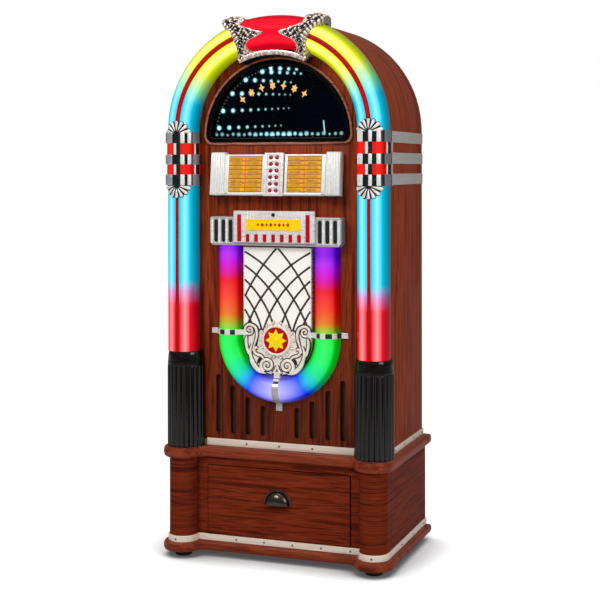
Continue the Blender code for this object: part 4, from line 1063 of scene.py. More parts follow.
def columns():
    """Fluted bases; the tube stands in a ringed collar that narrows to its own radius."""
    profile = [(BOARD_TOP + GAP, 0.0508, 1.0)]
    profile += [(COLLAR_LOW + rise, radius, deep) for rise, radius, deep in (
        (-0.004, 0.0508, 1.0), (-0.0015, 0.05, 0.3), (-0.0012, 0.0484, 0.0), (0.001, 0.0484, 0.0),
        (0.0014, 0.0502, 0.0), (0.0066, 0.05, 0.0), (0.007, 0.0482, 0.0), (0.0088, 0.048, 0.0),
        (0.0092, 0.0494, 0.0))]
    profile += [(COLUMN_TOP - drop, radius, 0.0) for drop, radius in (
        (0.012, 0.0484), (0.0116, 0.0468), (0.0098, 0.0466), (0.0094, 0.0478), (0.003, 0.047),
        (0.0, 0.0452))]
    flutes, steps = math.radians(16.5), 216
    for side, suffix in SIDES:
        rings = []
        for level, radius, deep in profile:
            start, end = phi_ends(radius, COLUMN_Y, COLUMN_PATH)
            places = []
            for index in range(steps + 1):
                phi = start + (end - start) * index / steps
                swell = abs(math.sin(phi / flutes * math.pi)) ** 0.6
                places.append((phi, radius - 0.0042 * deep * (1.0 - swell)))
            places += [(end + (start - end) * index / 12, 0.0368) for index in range(13)]
            rings.append([(side * (COLUMN_PATH + reach * math.sin(phi)), COLUMN_Y - reach * math.cos(phi),
                           level) for phi, reach in places])
        piece("fluted_column_" + suffix, loft(rings), [RIBBED], replaces=["column_" + suffix],
              angle=50.0)


# ---------------------------------------------------------------- title rack and selector
TILT = math.atan((TITLE_FRONT_LOW - TITLE_FRONT_HIGH) / (TITLE_HIGH - TITLE_LOW))
RACK_PLACE = (-0.003, -(TITLE_FRONT_LOW + TITLE_FRONT_HIGH) / 2.0, (TITLE_LOW + TITLE_HIGH) / 2.0)
LEAN = Matrix.Translation(RACK_PLACE) @ Matrix.Rotation(-TILT, 4, "X")
RACK_HALF = 0.0582


def title_rack():
    inner = TITLE_HALF - TITLE_CAP
    bar_low, bar_high = -RACK_HALF + 0.0036, RACK_HALF - 0.006
    frame_parts = [
        (block((-inner, inner), (0.004, 0.028), (bar_low, -0.0468), 0.0018, 3), 0),
        (block((-inner, inner), (0.004, 0.022), (0.0468, bar_high), 0.0018, 3), 0),
        # dark strip at the back of the rack: painted shade behind the cards
        (block((-inner, inner), (0.0096, 0.0112), (-0.047, 0.047), 0.0), 1)]
    for side in (-1, 1):
        reach = on_side(side, 0.1285, inner)
        frame_parts.append((block(reach, (0.004, 0.024), (bar_low, bar_high), 0.0016, 3), 0))
        reach = on_side(side, 0.0268, 0.0352)
        frame_parts.append((block(reach, (0.0045, 0.0075), (-0.0466, 0.0466), 0.0008), 0))
    piece("title_surround", gathered(*frame_parts), [RACK_STEEL, SHADOW_LINE], replaces=["title_frame"],
          turn=LEAN)

    for side, suffix in SIDES:
        outline = []
        for step in range(97):
            share = step / 96
            x = side * (inner + TITLE_CAP * share)
            wave = 0.0013 * abs(math.sin(math.pi * 6 * share)) ** 0.7
            ends = min(share, 1.0 - share) * TITLE_CAP
            round_off = 0.004 * max(0.0, 1.0 - ends / 0.004) ** 2
            outline.append((x, -wave + round_off + 0.0013))
        back = [(side * (inner + TITLE_CAP), 0.024), (side * inner, 0.024)]
        rings = []
        for level, inset in (
                (-RACK_HALF, 0.006), (-RACK_HALF + 0.0015, 0.0025), (-RACK_HALF + 0.005, 0.0008),
                (-RACK_HALF + 0.008, 0.0), (RACK_HALF - 0.006, 0.0), (RACK_HALF - 0.002, 0.0012),
                (RACK_HALF, 0.0035)):
            rings.append([(x, y + inset, level) for x, y in outline] + [(x, y, level) for x, y in back])
        cap = loft(rings)
        skirt = block(on_side(side, inner, TITLE_HALF), (-0.0006, 0.03),
                      (-RACK_HALF - 0.0002, -RACK_HALF + 0.0024))
        piece("title_cap_" + suffix, gathered((cap, 0), (skirt, 1)), [RACK_STEEL, DARK_CHROME],
              turn=LEAN, angle=45.0)

    cards = bmesh.new()
    rows, low, high = 8, -0.0462, 0.0462
    pitch = (high - low) / rows
    for side in (-1, 1):
        for left, right in ((0.0362, 0.0803), (0.0833, 0.1278)):
            reach = on_side(side, left, right)
            for row in range(rows):
                base = low + pitch * row
                merge(cards, block(reach, (0.0046, 0.007), (base + 0.001, base + pitch - 0.0006), 0.0008))
                for line in (0.36, 0.64):
                    inset = 0.004 + 0.002 * ((row * 7 + int(left * 1000)) % 3)
                    mark = (reach[0] + inset, reach[1] - inset - 0.003)
                    level = base + pitch * line
                    merge(cards, block(mark, (0.0043, 0.0048), (level - 0.0005, level + 0.0005), 0.0), 1)
        divider = on_side(side, 0.0805, 0.0831)
        merge(cards, block(divider, (0.004, 0.0072), (low, high), 0.0006), 2)
        merge(cards, block(on_side(side, 0.0355, 0.1283), (0.007, 0.0074), (low, high), 0.0), 1)
    piece("title_cards", cards, [AMBER, AMBER_DARK, ORANGE], replaces=["title_sheet"],
          turn=LEAN)


def button_places():
    for index in range(12):
        row, column = divmod(index, 2)
        yield index + 1, (2 * column - 1) * BUTTON_PITCH_X / 2.0, (row - 2.5) * BUTTON_PITCH_Z


def selector():
    front = 0.0037 - 0.0065
    holes = [circle((x, z), BUTTON_R + 0.0004, 24) for _, x, z in button_places()]
    face = plate([rectangle(-0.0185, 0.0185, -0.0572, 0.0552)] + holes, front, 0.0037, 0.0007)
    rims = bmesh.new()
    for _, x, z in button_places():
        merge(rims, turned(((BUTTON_R + 0.0003, front + 0.0004), (BUTTON_R + 0.0004, front - 0.0007),
                            (BUTTON_R + 0.0014, front - 0.0004), (BUTTON_R + 0.0018, front + 0.0004)),
                           (x, z), 24))
    ridges = bmesh.new()
    for left, right in ((-0.026, -0.0187), (0.0187, 0.026)):
        merge(ridges, block((left, right), (front - 0.0022, 0.0037), (-0.0575, 0.0555), 0.0022, 4))
    edge = BUTTON_PITCH_X / 2.0 + BUTTON_R + 0.002
    inner = BUTTON_PITCH_X / 2.0 - BUTTON_R - 0.002
    for step in range(13):
        level = -0.0516 + BUTTON_PITCH_Z / 2.0 * step
        spans = ((-0.0183, -edge), (-inner, inner), (edge, 0.0183)) if step % 2 else ((-0.0183, 0.0183),)
        height = (level - 0.0003, level + 0.0003)
        for span in spans:
            merge(ridges, block(span, (front - 0.0005, front + 0.0005), height, 0.0))
    piece("selector_face", gathered((face, 0), (rims, 1), (ridges, 2)), [PINK_WHITE, BUTTON_RED, RIB_WHITE],
          replaces=["selector_plate"], turn=LEAN)
    for number, x, z in button_places():
        profile = [(BUTTON_R - 0.0002, front + 0.004), (BUTTON_R - 0.0002, front - 0.001),
                   (BUTTON_R * 0.9, front - 0.0018), (BUTTON_R * 0.62, front - 0.0022),
                   (BUTTON_R * 0.3, front - 0.0019), (BUTTON_R * 0.05, front - 0.0018)]
        piece("button_cap_%02d" % number, turned(profile, (x, z), 28), [BUTTON_RED],
              body="selector_button_%02d" % number, replaces=["selector_button_%02d" % number],
              turn=LEAN)


# ---------------------------------------------------------------- control bar
def control_bar():
    outline = [(-VENT_HALF + 0.008, VENT_LOW), (VENT_HALF - 0.008, VENT_LOW), (VENT_HALF, VENT_LOW + 0.008),
               (VENT_HALF, VENT_HIGH - 0.004), (VENT_HALF - 0.004, VENT_HIGH),
               (-VENT_HALF + 0.004, VENT_HIGH), (-VENT_HALF, VENT_HIGH - 0.004),
               (-VENT_HALF, VENT_LOW + 0.008)]
    slots = [stadium(side * x, 0.831, 0.89, 0.0053) for x in VENT_SLOTS for side in (-1, 1)]
    shell = plate([outline] + slots, -VENT_DEPTH, -GAP, 0.0022, steps=4)
    # painted shade: a black block just behind the slots stands for the dark inside of the vent
    painted_shade_liner = bmesh.new()
    for side in (-1, 1):
        reach = on_side(side, 0.116, 0.172)
        merge(painted_shade_liner, block(reach, (-0.0315, -0.03), (0.828, 0.893), 0.0))
    ribs = bmesh.new()
    for x in (0.1338, 0.1544, 0.1752):
        for side in (-1, 1):
            merge(ribs, ribbon([(side * x, 0.8275), (side * x, 0.833), (side * x, 0.887), (side * x, 0.8925)],
                               lambda s: 0.004 * math.sin(math.pi * min(max(s, 0.12), 0.88)) ** 0.5,
                               0.0034, -VENT_DEPTH + 0.0002))
    piece("vent_housing", gathered((shell, 0), (painted_shade_liner, 1), (ribs, 2)), [BAR_STEEL, PIT, RIB_BRIGHT],
          replaces=["vent_bar"])

    back = -VENT_DEPTH - GAP
    face = back - 0.008
    pitch, groove = 0.0237, 0.0079
    profile = []
    count = int(PLATE_HALF * 2.0 / groove * 8)
    for step in range(count + 1):
        x = -PLATE_HALF + 2.0 * PLATE_HALF * step / count
        fine = abs(math.sin(math.pi * x / groove))
        broad = abs(math.sin(math.pi * (x / pitch + 0.5)))
        depth = 0.0022 * max(0.0, 1.0 - fine / 0.28) + 0.0012 * max(0.0, 1.0 - broad / 0.1)
        if abs(x) > 0.101:
            depth = 0.0
        edge = min(1.0, (PLATE_HALF - abs(x)) / 0.0015)
        profile.append((x, face + depth + 0.0015 * (1.0 - edge) ** 2))
    rings = []
    for level, inset in ((PLATE_LOW, 0.0015), (PLATE_LOW + 0.0012, 0.0), (PLATE_HIGH - 0.0012, 0.0),
                         (PLATE_HIGH, 0.0015)):
        rings.append([(x, y + inset, level) for x, y in profile] + [(PLATE_HALF, back, level),
                                                                   (-PLATE_HALF, back, level)])
    ribbed = loft(rings)
    bars = bmesh.new()
    places = [(side * 0.0945, 0.0055, (0.8345, 0.9045)) for side in (-1, 1)]
    places += [((index - 3) * pitch, 0.0048, (0.8335, 0.8535)) for index in range(7)]
    for centre, half, height in places:
        merge(bars, block((centre - half, centre + half), (face - 0.0016, face + 0.001), height, 0.0008))
    label = plate([rectangle(-0.0752, 0.0752, 0.8636, 0.8926, 0.002)], face - 0.002, face + 0.0005, 0.0008)
    marks = bmesh.new()
    middle = 0.8781
    for index in range(8):
        centre = (index - 3.5) * 0.0118
        wide, tall = (0.0044, 0.0056) if index % 2 else (0.0034, 0.0044)
        outline = [(centre - wide, middle), (centre, middle - tall), (centre + wide, middle),
                   (centre, middle + tall)]
        merge(marks, plate([outline], face - 0.0026, face - 0.0015, 0.0002))
    eye = turned(((0.0048, face + 0.001), (0.0048, face - 0.0012), (0.004, face - 0.0018),
                  (0.003, face - 0.0014), (0.0004, face - 0.002)), (0.0, 0.9037), 28)
    piece("control_face", gathered((ribbed, 0), (bars, 1), (label, 2), (marks, 1), (eye, 3)),
          [RIB_WHITE, RED_DARK, YELLOW, PIT], replaces=["control_plate"])


# ---------------------------------------------------------------- lower tube, grille and scrollwork
def lower_tube():
    rings, glow = [], []
    path = [(-1, level) for level in (U_TOP, 0.74, 0.66)]
    path += [(0, math.pi * step / 60) for step in range(61)]
    path += [(1, level) for level in (0.66, 0.74, U_TOP)]
    for side, value in path:
        if side:
            length = U_PATH * math.pi / 2.0 + value - U_CENTRE_Z
        else:
            length = U_PATH * abs(value - math.pi / 2.0)
        ring, values = [], []
        for reach, order in ((U_R, 1), (U_R - 0.003, -1)):
            for index in range(37)[::order]:
                phi = -math.pi / 2.0 + math.pi * index / 36
                u, y = reach * math.sin(phi), -GAP - reach * math.cos(phi)
                if side:
                    ring.append((side * (U_PATH + u), y, value))
                else:
                    ring.append((-(U_PATH + u) * math.cos(value), y,
                                 U_CENTRE_Z - (U_PATH + u) * math.sin(value)))
                late = 0.022 * smooth((length - 0.19) / 0.05) if side > 0 else 0.0
                values.append((length + late, phi / math.radians(95.0), 0.0))
        rings.append(ring)
        glow.append(values)
    piece("lit_u_tube", loft(rings, glow), [U_GLOW], replaces=["u_tube"])


def lattice_line(x, z, heading, length, bend):
    """Path that starts at (x, z), heading down to the right, and bends further down."""
    points = [(x, z)]
    steps = 40
    for index in range(steps):
        turn = math.radians(heading + bend * index / steps)
        x += length / steps * math.cos(turn)
        z -= length / steps * math.sin(turn)
        points.append((x, z))
    return points


def inside_grille(x, z):
    half = GRILLE_HALF - 0.003
    return abs(x) <= half and z <= GRILLE_TOP - 0.002 and (
        z >= U_CENTRE_Z or math.hypot(x, z - U_CENTRE_Z) <= half)


def grille():
    pan = plate([u_outline(GRILLE_HALF - 0.0002, GRILLE_TOP)], GRILLE_Y, GRILLE_Y + 0.0016, 0.0005)
    lip = plate([u_outline(GRILLE_HALF, GRILLE_TOP), u_outline(GRILLE_HALF - 0.0024, GRILLE_TOP - 0.0024)],
                GRILLE_Y - 0.0012, -GAP, 0.0008)
    piece("grille_face", gathered((pan, 0), (lip, 1)), [PEARL, RIB_WHITE], replaces=["grille"])

    bars, shadows = bmesh.new(), bmesh.new()
    starts = [(0.002, 0.816, 47.0, 0.205, 22.0), (-0.0912, 0.806, 28.0, 0.262, 40.0),
              (-0.0912, 0.77, 33.0, 0.23, 42.0), (-0.0912, 0.733, 40.0, 0.18, 40.0),
              (-0.0912, 0.693, 50.0, 0.125, 30.0), (-0.0912, 0.655, 55.0, 0.06, 20.0)]
    for x, z, heading, length, bend in starts:
        path = [p for p in lattice_line(x, z, heading, length, bend) if inside_grille(*p) and p[1] > 0.59]
        if len(path) < 4:
            continue
        merge(bars, both(ribbon(path, 0.0015, 0.0018, GRILLE_Y - 0.0004)))
        # painted shadow: a wider dark ribbon under each lattice bar
        merge(shadows, both(ribbon(path, 0.0027, 0.0006, GRILLE_Y)))
    piece("grille_lattice", gathered((bars, 0), (shadows, 1)), [LATTICE, SHADOW_LINE])


def scrollwork():
    back = GRILLE_Y - GAP
    half = GRILLE_HALF - 0.0034
    bars, lines = bmesh.new(), bmesh.new()

    def stroke(points, width, height=0.0046, dark=0.0038, base=back - 0.0004):
        def taper(s):
            return width(s) if callable(width) else width * min(1.0, 0.35 + 3.0 * s, 0.25 + 4.0 * (1.0 - s))

        merge(bars, both(ribbon(points, taper, height, base - 0.0008, 8)))
        # painted shadow: a wider dark ribbon round each stroke
        merge(lines, both(ribbon(points, lambda s: taper(s) + dark, 0.0014, base, 4, 0.3)))

    # lower pair of big volutes, meeting over the foot
    heart = spiral((0.0275, 0.511), 0.019, 0.0045, -60.0, 1.55, 54)
    arm = smooth_path([(0.07, 0.564), (0.0745, 0.55), (0.0735, 0.532), (0.064, 0.512),
                       (0.05, 0.4985), heart[0]], 8)
    stroke(arm[:-1] + heart, lambda s: 0.006 * min(1.0, 0.3 + 3.0 * s) * (1.0 - 0.55 * s))
    curl = smooth_path([(0.0345, 0.5255), (0.044, 0.535), (0.058, 0.54), (0.064, 0.548),
                        (0.06, 0.556), (0.052, 0.554)], 8)
    stroke(curl, 0.0034)
    # upper side volutes
    upper = spiral((0.077, 0.601), 0.015, 0.0036, 105.0, -1.35, 46)
    side_arm = smooth_path([(0.069, 0.548), (0.061, 0.57), (0.056, 0.59), (0.06, 0.608), upper[0]],
                           8)
    stroke(side_arm[:-1] + upper, lambda s: 0.0042 * min(1.0, 0.3 + 3.0 * s) * (1.0 - 0.5 * s))
    stroke(smooth_path([(0.0845, 0.585), (0.087, 0.57), (0.083, 0.55), (0.076, 0.535)], 8), 0.004)
    stroke(smooth_path([(0.075, 0.524), (0.065, 0.506), (0.05, 0.494), (0.03, 0.4905)], 8), 0.003)
    # foot
    stroke(smooth_path([(0.001, 0.512), (0.004, 0.501), (0.01, 0.4945)], 8), 0.0028)
    stroke(smooth_path([(0.0012, 0.4905), (0.007, 0.4945), (0.015, 0.4925)], 6), 0.0022)
    # dark strips beside the medallion: painted shade standing in for open gaps
    for wide, *controls in (
            (0.0062, (0.046, 0.606), (0.056, 0.592), (0.059, 0.574), (0.064, 0.556), (0.076, 0.542)),
            (0.004, (0.044, 0.534), (0.05, 0.525), (0.056, 0.513)),
            (0.0024, (0.002, 0.535), (0.011, 0.53), (0.017, 0.533))):
        merge(lines, both(ribbon(smooth_path(controls, 8),
                                 lambda s, w=wide: w * math.sin(math.pi * min(0.92, max(0.08, s))),
                                 0.0012, back - 0.001, 4, 0.3)))
    # petals around the medallion
    for step in range(7):
        angle = math.radians(-82.0 + 26.0 * step)
        centre = (0.0425 * math.cos(angle), MEDALLION_Z + 0.0425 * math.sin(angle))
        far = (0.05 * math.cos(angle + 0.12), MEDALLION_Z + 0.05 * math.sin(angle + 0.12))
        stroke([centre, ((centre[0] + far[0]) / 2, (centre[1] + far[1]) / 2), far], 0.004, 0.0034, 0.0014)

    shield = [(-0.07, 0.602)] + arc((0.0, MEDALLION_Z), 0.047, math.radians(152), math.radians(28), 20)
    shield += [(0.07, 0.602), (0.0905, 0.616)]
    shield += arc((0.0, U_CENTRE_Z), half, 0.0, -math.pi, 48) + [(-0.0905, 0.616)]
    sheet = plate([shield], back - 0.001, back, 0.0004)
    ring = plate([circle((0.0, MEDALLION_Z), 0.0395, 64), circle((0.0, MEDALLION_Z), 0.0338, 64)],
                 back - 0.0112, back - 0.001, 0.0022, steps=4)
    piece("scroll_casting", gathered((bars, 0), (lines, 1), (sheet, 0), (ring, 0)),
          [PEARL_SILVER, SHADOW_LINE], replaces=["grille_casting"])

    disc = turned(((0.0336, back - 0.001), (0.0336, back - 0.0092), (0.032, back - 0.01),
                   (0.0005, back - 0.0104)), (0.0, MEDALLION_Z), 64)
    points = []
    for step in range(16):
        angle = math.pi / 2.0 + math.pi * step / 8.0
        radius = 0.029 if step % 2 == 0 else 0.0182
        points.append((radius * math.cos(angle), MEDALLION_Z + radius * math.sin(angle)))
    star = bmesh.new()
    face = back - 0.0102
    tip = star.verts.new((0.0, face - 0.003, MEDALLION_Z))
    rim = [star.verts.new((x, face - (0.0006, 0.0012)[index % 2], z)) for index, (x, z) in enumerate(points)]
    base = [star.verts.new((x, face + 0.0004, z)) for x, z in points]
    for index in range(16):
        after = (index + 1) % 16
        star.faces.new((rim[index], rim[after], tip))
        star.faces.new((base[index], base[after], rim[after], rim[index]))
    star.faces.new(base)
    boss = turned(((0.0072, face - 0.0015), (0.007, face - 0.003), (0.005, face - 0.004),
                   (0.0004, face - 0.0045)), (0.0, MEDALLION_Z), 28)
    piece("medallion_star", gathered((disc, 0), (star, 1), (boss, 2)), [RED_DARK, STAR_YELLOW, STAR_YELLOW],
          angle=12.0)
    tube_bands(back)


def hoop(place, outline, first, last, count):
    """Band over a round tube, from (across, reach) pairs, between two angles in degrees."""
    rings = []
    for step in range(count + 1):
        phi = math.radians(first + (last - first) * step / count)
        rings.append([place(reach * math.sin(phi), -GAP - reach * math.cos(phi), across)
                      for across, reach in outline])
    return loft(rings)


def tube_bands(back):
    """Striped bands that hold the lower tube: one over each leg and one over its foot."""
    bright, dark = bmesh.new(), bmesh.new()
    skin = U_R + 0.0004

    def band(place, half_width, cuts, raised):
        """Stripes between the cuts; every second one, from the raised index on, stands out."""
        for index, (first, last) in enumerate(zip(cuts, cuts[1:])):
            lift = 0.0016 if index % 2 == raised else 0.0
            wide = half_width if lift else half_width * 0.86
            outline = ((-wide, skin), (-wide, skin + 0.0012 + lift), (-wide + 0.0012, skin + 0.0022 + lift),
                       (wide - 0.0012, skin + 0.0022 + lift), (wide, skin + 0.0012 + lift), (wide, skin))
            stripe = hoop(place, outline, first, last, max(2, int((last - first) / 4.0)))
            merge(bright if lift else dark, stripe)

    cuts = (-84.0, -58.0, -34.0, -14.0, 8.0, 34.0, 56.0, 86.0)
    for side in (-1, 1):
        band(lambda u, y, across, s=side: (s * (U_PATH + u), y, BAND_Z + across), BAND_HALF, cuts, 1)
        tab = block(on_side(side, U_PATH + U_R - 0.001, 0.19), (-0.0055, -GAP),
                    (BAND_Z - BAND_HALF, BAND_Z + BAND_HALF), 0.0014)
        merge(bright, tab)
        merge(dark, block(on_side(side, U_PATH + U_R - 0.001, U_PATH + U_R + 0.0035),
                          (-0.006, -GAP), (BAND_Z - 0.0066, BAND_Z + 0.0066), 0.0006))
        arm = block(on_side(side, 0.085, U_PATH - U_R + 0.004), (back - 0.0052, back - 0.0006),
                    (BAND_Z - 0.0068, BAND_Z + 0.0068), 0.0012)
        merge(bright, arm)
    foot = U_CENTRE_Z - U_PATH

    def over_foot(u, y, across):
        return across, y, foot - u

    band(over_foot, 0.008, (-84.0, -62.0, -50.0, -40.0, -28.0, -16.0), 0)
    strap = hoop(over_foot, ((-0.0088, skin), (-0.0088, U_R + 0.002), (-0.007, U_R + 0.003),
                             (0.007, U_R + 0.003), (0.0088, U_R + 0.002), (0.0088, skin)), -16.0, 86.0, 20)
    tongue = block((-0.0088, 0.0088), (-0.0042, -GAP), (0.3915, foot - U_R + 0.002), 0.0012)
    stem = block((-0.008, 0.008), (back - 0.0052, back - 0.0006), (foot + U_R - 0.004, 0.496), 0.001)
    piece("tube_bands", gathered((bright, 0), (dark, 1), (strap, 2), (tongue, 2), (stem, 0)),
          [RIB_WHITE, DARK_CHROME, BAR_STEEL])


# ---------------------------------------------------------------- stand
def corner_outline(overhang, steps=40):
    """Plan of the stand's skin with its round corner posts, grown by overhang."""
    radius = POST_R + overhang
    right = [(POST_X - radius, STAND_FRONT - overhang)]
    right += arc((POST_X, POST_Y), radius, -math.pi, 0.0, steps)
    return [(-x, y) for x, y in reversed(right)] + right


def board_outline(overhang, steps=24):
    """Plan of a board: a lobe under each post, run into the front edge by a hollow curve."""
    radius = POST_R + overhang
    front = STAND_FRONT - overhang
    hollow = BOARD_HOLLOW + BOARD_OVERHANG - overhang
    rise = POST_Y - front + hollow
    run = math.sqrt((radius + hollow) ** 2 - rise ** 2)
    meet = math.atan2(rise, run)
    right = arc((POST_X - run, front - hollow), hollow, math.pi / 2.0, meet, 10)[:-1]
    right += arc((POST_X, POST_Y), radius, meet - math.pi, 0.0, 2 * steps)
    left = [(-x, y) for x, y in reversed(right)]
    half = STAND_HALF + overhang
    back = BOARD_BACK - BOARD_OVERHANG + overhang
    return left + right + [(half, back), (-half, back)]


def moulded_board(name, low, high):
    """Board with a bullnose edge that steps in under its top."""
    half_height = (high - low) / 2.0
    rings = [[(x, y, low) for x, y in board_outline(0.0)]]
    for step in range(13):
        angle = -math.pi / 2.0 + math.pi * step / 12
        bulge = BOARD_OVERHANG - 0.006 * (1.0 - math.cos(angle))
        rings.append([(x, y, low + half_height * (1.0 + math.sin(angle))) for x, y in board_outline(bulge)])
    rings.append([(x, y, high) for x, y in board_outline(0.0)])
    piece(name + "_board", loft(rings), [CHERRY_EDGE], replaces=[name], angle=50.0)


def stand():
    moulded_board("stand_bottom", BOTTOM_LOW, BOTTOM_HIGH)
    moulded_board("stand_top", TOP_LOW, BOARD_TOP)
    low, high = BOTTOM_HIGH + GAP, TOP_LOW - GAP
    for side, suffix in SIDES:
        post = arc((POST_X, POST_Y), POST_R, -math.pi, 0.0, 44)
        wall = STAND_HALF - SHELL_WALL - 0.001
        plan = post + [(STAND_HALF, STAND_BACK), (wall, STAND_BACK), (wall, 0.006), (post[0][0], 0.006)]
        rings = [[(side * x, y, z) for x, y in plan] for z in (low, high)]
        piece("stand_cheek_" + suffix, loft(rings), [CHERRY_POST], replaces=["stand_side_" + suffix],
              angle=50.0)
    reach = POST_X - POST_R - GAP
    half = DRAWER_HALF + DRAWER_CLEAR
    rails = plate([rectangle(-reach, reach, low, high),
                   rectangle(-half, half, DRAWER_LOW - DRAWER_CLEAR, DRAWER_HIGH + DRAWER_CLEAR)],
                  STAND_FRONT, STAND_FRONT + DRAWER_FACE, 0.0012)
    piece("stand_rails", rails, [CHERRY_H], replaces=["face_frame"])

    skin = [(-STAND_HALF - GAP, STAND_BACK)] + corner_outline(GAP) + [(STAND_HALF + GAP, STAND_BACK)]
    top = BOTTOM_HIGH + 0.0175
    soft = 0.0012
    rings = []
    for level, shrink in ((low, soft), (low + soft, 0.0), (top - soft, 0.0), (top, soft)):
        ring = [(-STAND_HALF - SKIN + shrink, STAND_BACK)] + corner_outline(SKIN - shrink)
        ring += [(STAND_HALF + SKIN - shrink, STAND_BACK)]
        rings.append([(x, y, level) for x, y in ring + skin[::-1]])
    trim = loft(rings)
    heads = bmesh.new()
    middle = (low + top) / 2.0
    for index in range(5):
        merge(heads, screw_head(-0.1164 + index * 0.0786, STAND_FRONT - 0.0034, middle, 1, 0.0027))
    angle = math.radians(-83.0)
    for side in (-1, 1):
        place = (side * (POST_X + (POST_R + 0.0034) * math.cos(angle)),
                 POST_Y + (POST_R + 0.0034) * math.sin(angle))
        merge(heads, turned_head(place, middle, side * math.radians(7.0)))
        for y in (0.09, 0.2, 0.31):
            merge(heads, side_head(side, STAND_HALF + 0.0034, y, middle))
    piece("foot_trim", gathered((trim, 0), (heads, 1)), [CREAM, SCREW], replaces=["lower_trim"])

    low, high = BOARD_TOP + GAP, BOARD_TOP + 0.0195
    strip = block((-0.205, 0.205), (-0.0038, -GAP), (low, high), 0.0011, 3)
    heads = bmesh.new()
    for index in range(3):
        merge(heads, screw_head((index - 1) * 0.0915, -0.0038, (low + high) / 2.0, 1, 0.0029))
    piece("waist_trim", gathered((strip, 0), (heads, 1)), [CREAM, SCREW], replaces=["upper_trim"])
    for side, suffix in SIDES:
        skin = on_side(side, CABINET_HALF + GAP, CABINET_HALF + 0.0038)
        strip = block(skin, (0.033, CABINET_DEPTH), (low, low + 0.0145), 0.0011)
        heads = bmesh.new()
        for y in (0.06, 0.15, 0.24, 0.325):
            merge(heads, side_head(side, CABINET_HALF + 0.0038, y, low + 0.0072))
        piece("side_trim_" + suffix, gathered((strip, 0), (heads, 1)), [CREAM, SCREW])


def turned_head(place, level, facing):
    """Screw head on the round corner of the foot trim."""
    head = screw_head(0.0, 0.0, 0.0, 1, 0.0027)
    turn = Matrix.Translation((place[0], place[1], level)) @ Matrix.Rotation(facing, 4, "Z")
    bmesh.ops.transform(head, matrix=turn, verts=head.verts[:])
    return head


def side_head(side, x, y, level):
    return turned_head((side * x, y), level, side * math.pi / 2.0)


def drawer():
    face = plate([rectangle(-DRAWER_HALF, DRAWER_HALF, DRAWER_LOW, DRAWER_HIGH)], DRAWER_FACE_Y,
                 DRAWER_FACE_Y + DRAWER_FACE, 0.0016, steps=3)
    piece("drawer_face", face, [CHERRY_H], body="drawer", replaces=["drawer_front"])
    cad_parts["drawer_box"].data.materials[0] = PLY
    for suffix in ("left", "right"):
        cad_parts["runner_" + suffix].data.materials[0] = STRAP_STEEL

    steps_round, steps_out = 40, 14
    top = DRAWER_FACE_Y - GAP
    outer, inner = [], []
    for scale, grid in ((1.0, outer), (0.93, inner)):
        for out in range(steps_out + 1):
            reach = math.pi / 2.0 * 0.985 * out / steps_out
            ring = []
            for index in range(steps_round + 1):
                angle = math.pi * index / steps_round
                x = PULL_HALF * scale * math.cos(reach) ** 0.8 * math.cos(angle)
                z = PULL_Z + PULL_RISE * scale * math.cos(reach) ** 0.8 * math.sin(angle)
                ring.append((x, top - PULL_DEPTH * scale * math.sin(reach) ** 0.9, z))
            grid.append(ring)
    zero = [[0.0] * (steps_round + 1)] * (steps_out + 1)
    cup = slab(outer, inner, zero)
    flange = plate([arc((0.0, PULL_Z), PULL_HALF + 0.0035, 0.0, math.pi, 40)], top - 0.0016, top, 0.0006)
    merge(cup, flange)
    for side in (-1, 1):
        merge(cup, screw_head(side * (PULL_HALF - 0.001), top - 0.0014, PULL_Z + 0.0035, 1, 0.002))
    piece("drawer_cup", cup, [BRONZE], body="drawer", replaces=["cup_pull"])


def works():
    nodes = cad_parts
    nodes["speaker_cloth"].data.materials[0] = CLOTH
    nodes["stand_back"].data.materials[0] = BOARD
    nodes["light_strip"].data.materials[0] = CIRCUIT
    nodes["amplifier"].data.materials[0] = STRAP_STEEL
    nodes["mains_inlet"].data.materials[0] = BLACK
    for suffix in ("left", "right"):
        nodes["speaker_" + suffix].data.materials[0] = CONE
        for row in ("front", "back"):
            nodes["foot_%s_%s" % (row, suffix)].data.materials[0] = RUBBER
    pins = bmesh.new()
    for x, z in ((-0.0065, 0.3685), (0.0065, 0.3685), (0.0, 0.376)):
        merge(pins, block((x - 0.0011, x + 0.0011), (0.3318, 0.3372), (z - 0.0022, z + 0.0022), 0.0004))
    piece("inlet_pins", pins, [CHROME])


# ---------------------------------------------------------------- light, floor and camera
def area(name, place, size, power):
    light = bpy.data.lights.new(name, "AREA")
    light.shape = "RECTANGLE"
    light.size = light.size_y = size
    light.energy = power
    obj = bpy.data.objects.new(name, light)
    obj.location = place
    obj.rotation_euler = (Vector(LIGHT_AIM) - Vector(place)).to_track_quat("-Z", "Y").to_euler()
    bpy.context.scene.collection.objects.link(obj)


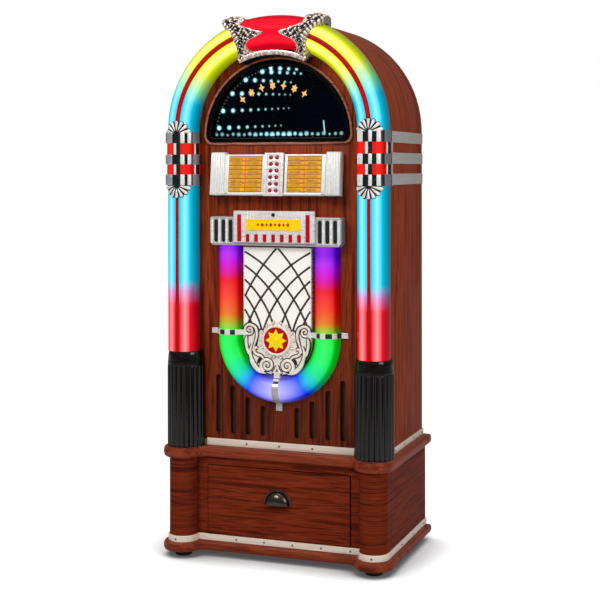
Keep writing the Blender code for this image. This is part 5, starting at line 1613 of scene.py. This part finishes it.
def studio():
    scene = bpy.context.scene
    scene.view_settings.view_transform = "Standard"
    world = bpy.data.worlds.new("studio")
    scene.world = world
    world.use_nodes = True
    sky = Tree(world.node_tree)
    shift = sky.node("MapRange")
    shift.inputs["From Min"].default_value = -1.0
    sky.link(sky.split(sky.node("TexCoord").outputs["Generated"])["Z"], shift.inputs["Value"])
    dim = sky.ramp(shift.outputs["Result"], [(0.3, grey(0.1)), (0.52, grey(0.13)), (0.95, grey(0.55))])
    seen = sky.mix(sky.node("LightPath").outputs["Is Camera Ray"], dim, grey(1.0))
    sky.link(seen, sky.tree.nodes["Background"].inputs["Color"])

    for name, place, size, power in LIGHTS:
        area(name, place, size, power)

    floor = bmesh.new()
    bmesh.ops.create_grid(floor, x_segments=1, y_segments=1, size=9.0)
    mesh = bpy.data.meshes.new("studio_floor")
    floor.to_mesh(mesh)
    floor.free()
    pale = Nodes("studio_floor")
    drift = pale.noise(pale.coords(), 2.0)
    pale.set(Roughness=0.9, Emission_Color=grey(1.0))
    # painted contact shadow: ambient occlusion darkens the floor's colour and its camera-seen glow near the
    # object
    painted_shadow_ao = pale.node("AmbientOcclusion")
    painted_shadow_ao.inputs["Distance"].default_value = 0.19
    painted_shadow_factor = pale.ramp(painted_shadow_ao.outputs["AO"], [(0.3, grey(0.0)), (0.62, grey(0.5)), (0.88, grey(1.0))])
    tone = pale.ramp(drift, [(0.3, grey(0.66)), (0.7, grey(0.68))])
    pale.colour(pale.mix(0.8, tone, painted_shadow_factor, "MULTIPLY"))
    bright = pale.math("MULTIPLY", painted_shadow_factor, 0.7)
    seen = pale.math("MULTIPLY", pale.node("LightPath").outputs["Is Camera Ray"], bright)
    pale.link(pale.math("ADD", seen, 0.07), pale.shader.inputs["Emission Strength"])
    mesh.materials.append(pale.material)
    obj = bpy.data.objects.new("studio_floor", mesh)
    scene.collection.objects.link(obj)

    camera = bpy.data.cameras.new("view")
    camera.sensor_fit = "VERTICAL"
    camera.lens, camera.sensor_height, camera.sensor_width = CAMERA_LENS, FRAME_HEIGHT, FRAME_WIDTH
    camera.shift_y = CAMERA_SHIFT
    camera.dof.use_dof = False
    obj = bpy.data.objects.new("view", camera)
    obj.location = CAMERA_PLACE
    obj.rotation_euler = CAMERA_TURN
    scene.collection.objects.link(obj)
    scene.camera = obj


for build in (cabinet, window, lit_tubes, crown, grips, columns, title_rack, selector, control_bar,
              lower_tube, grille, scrollwork, stand, drawer, works, studio):
    build()
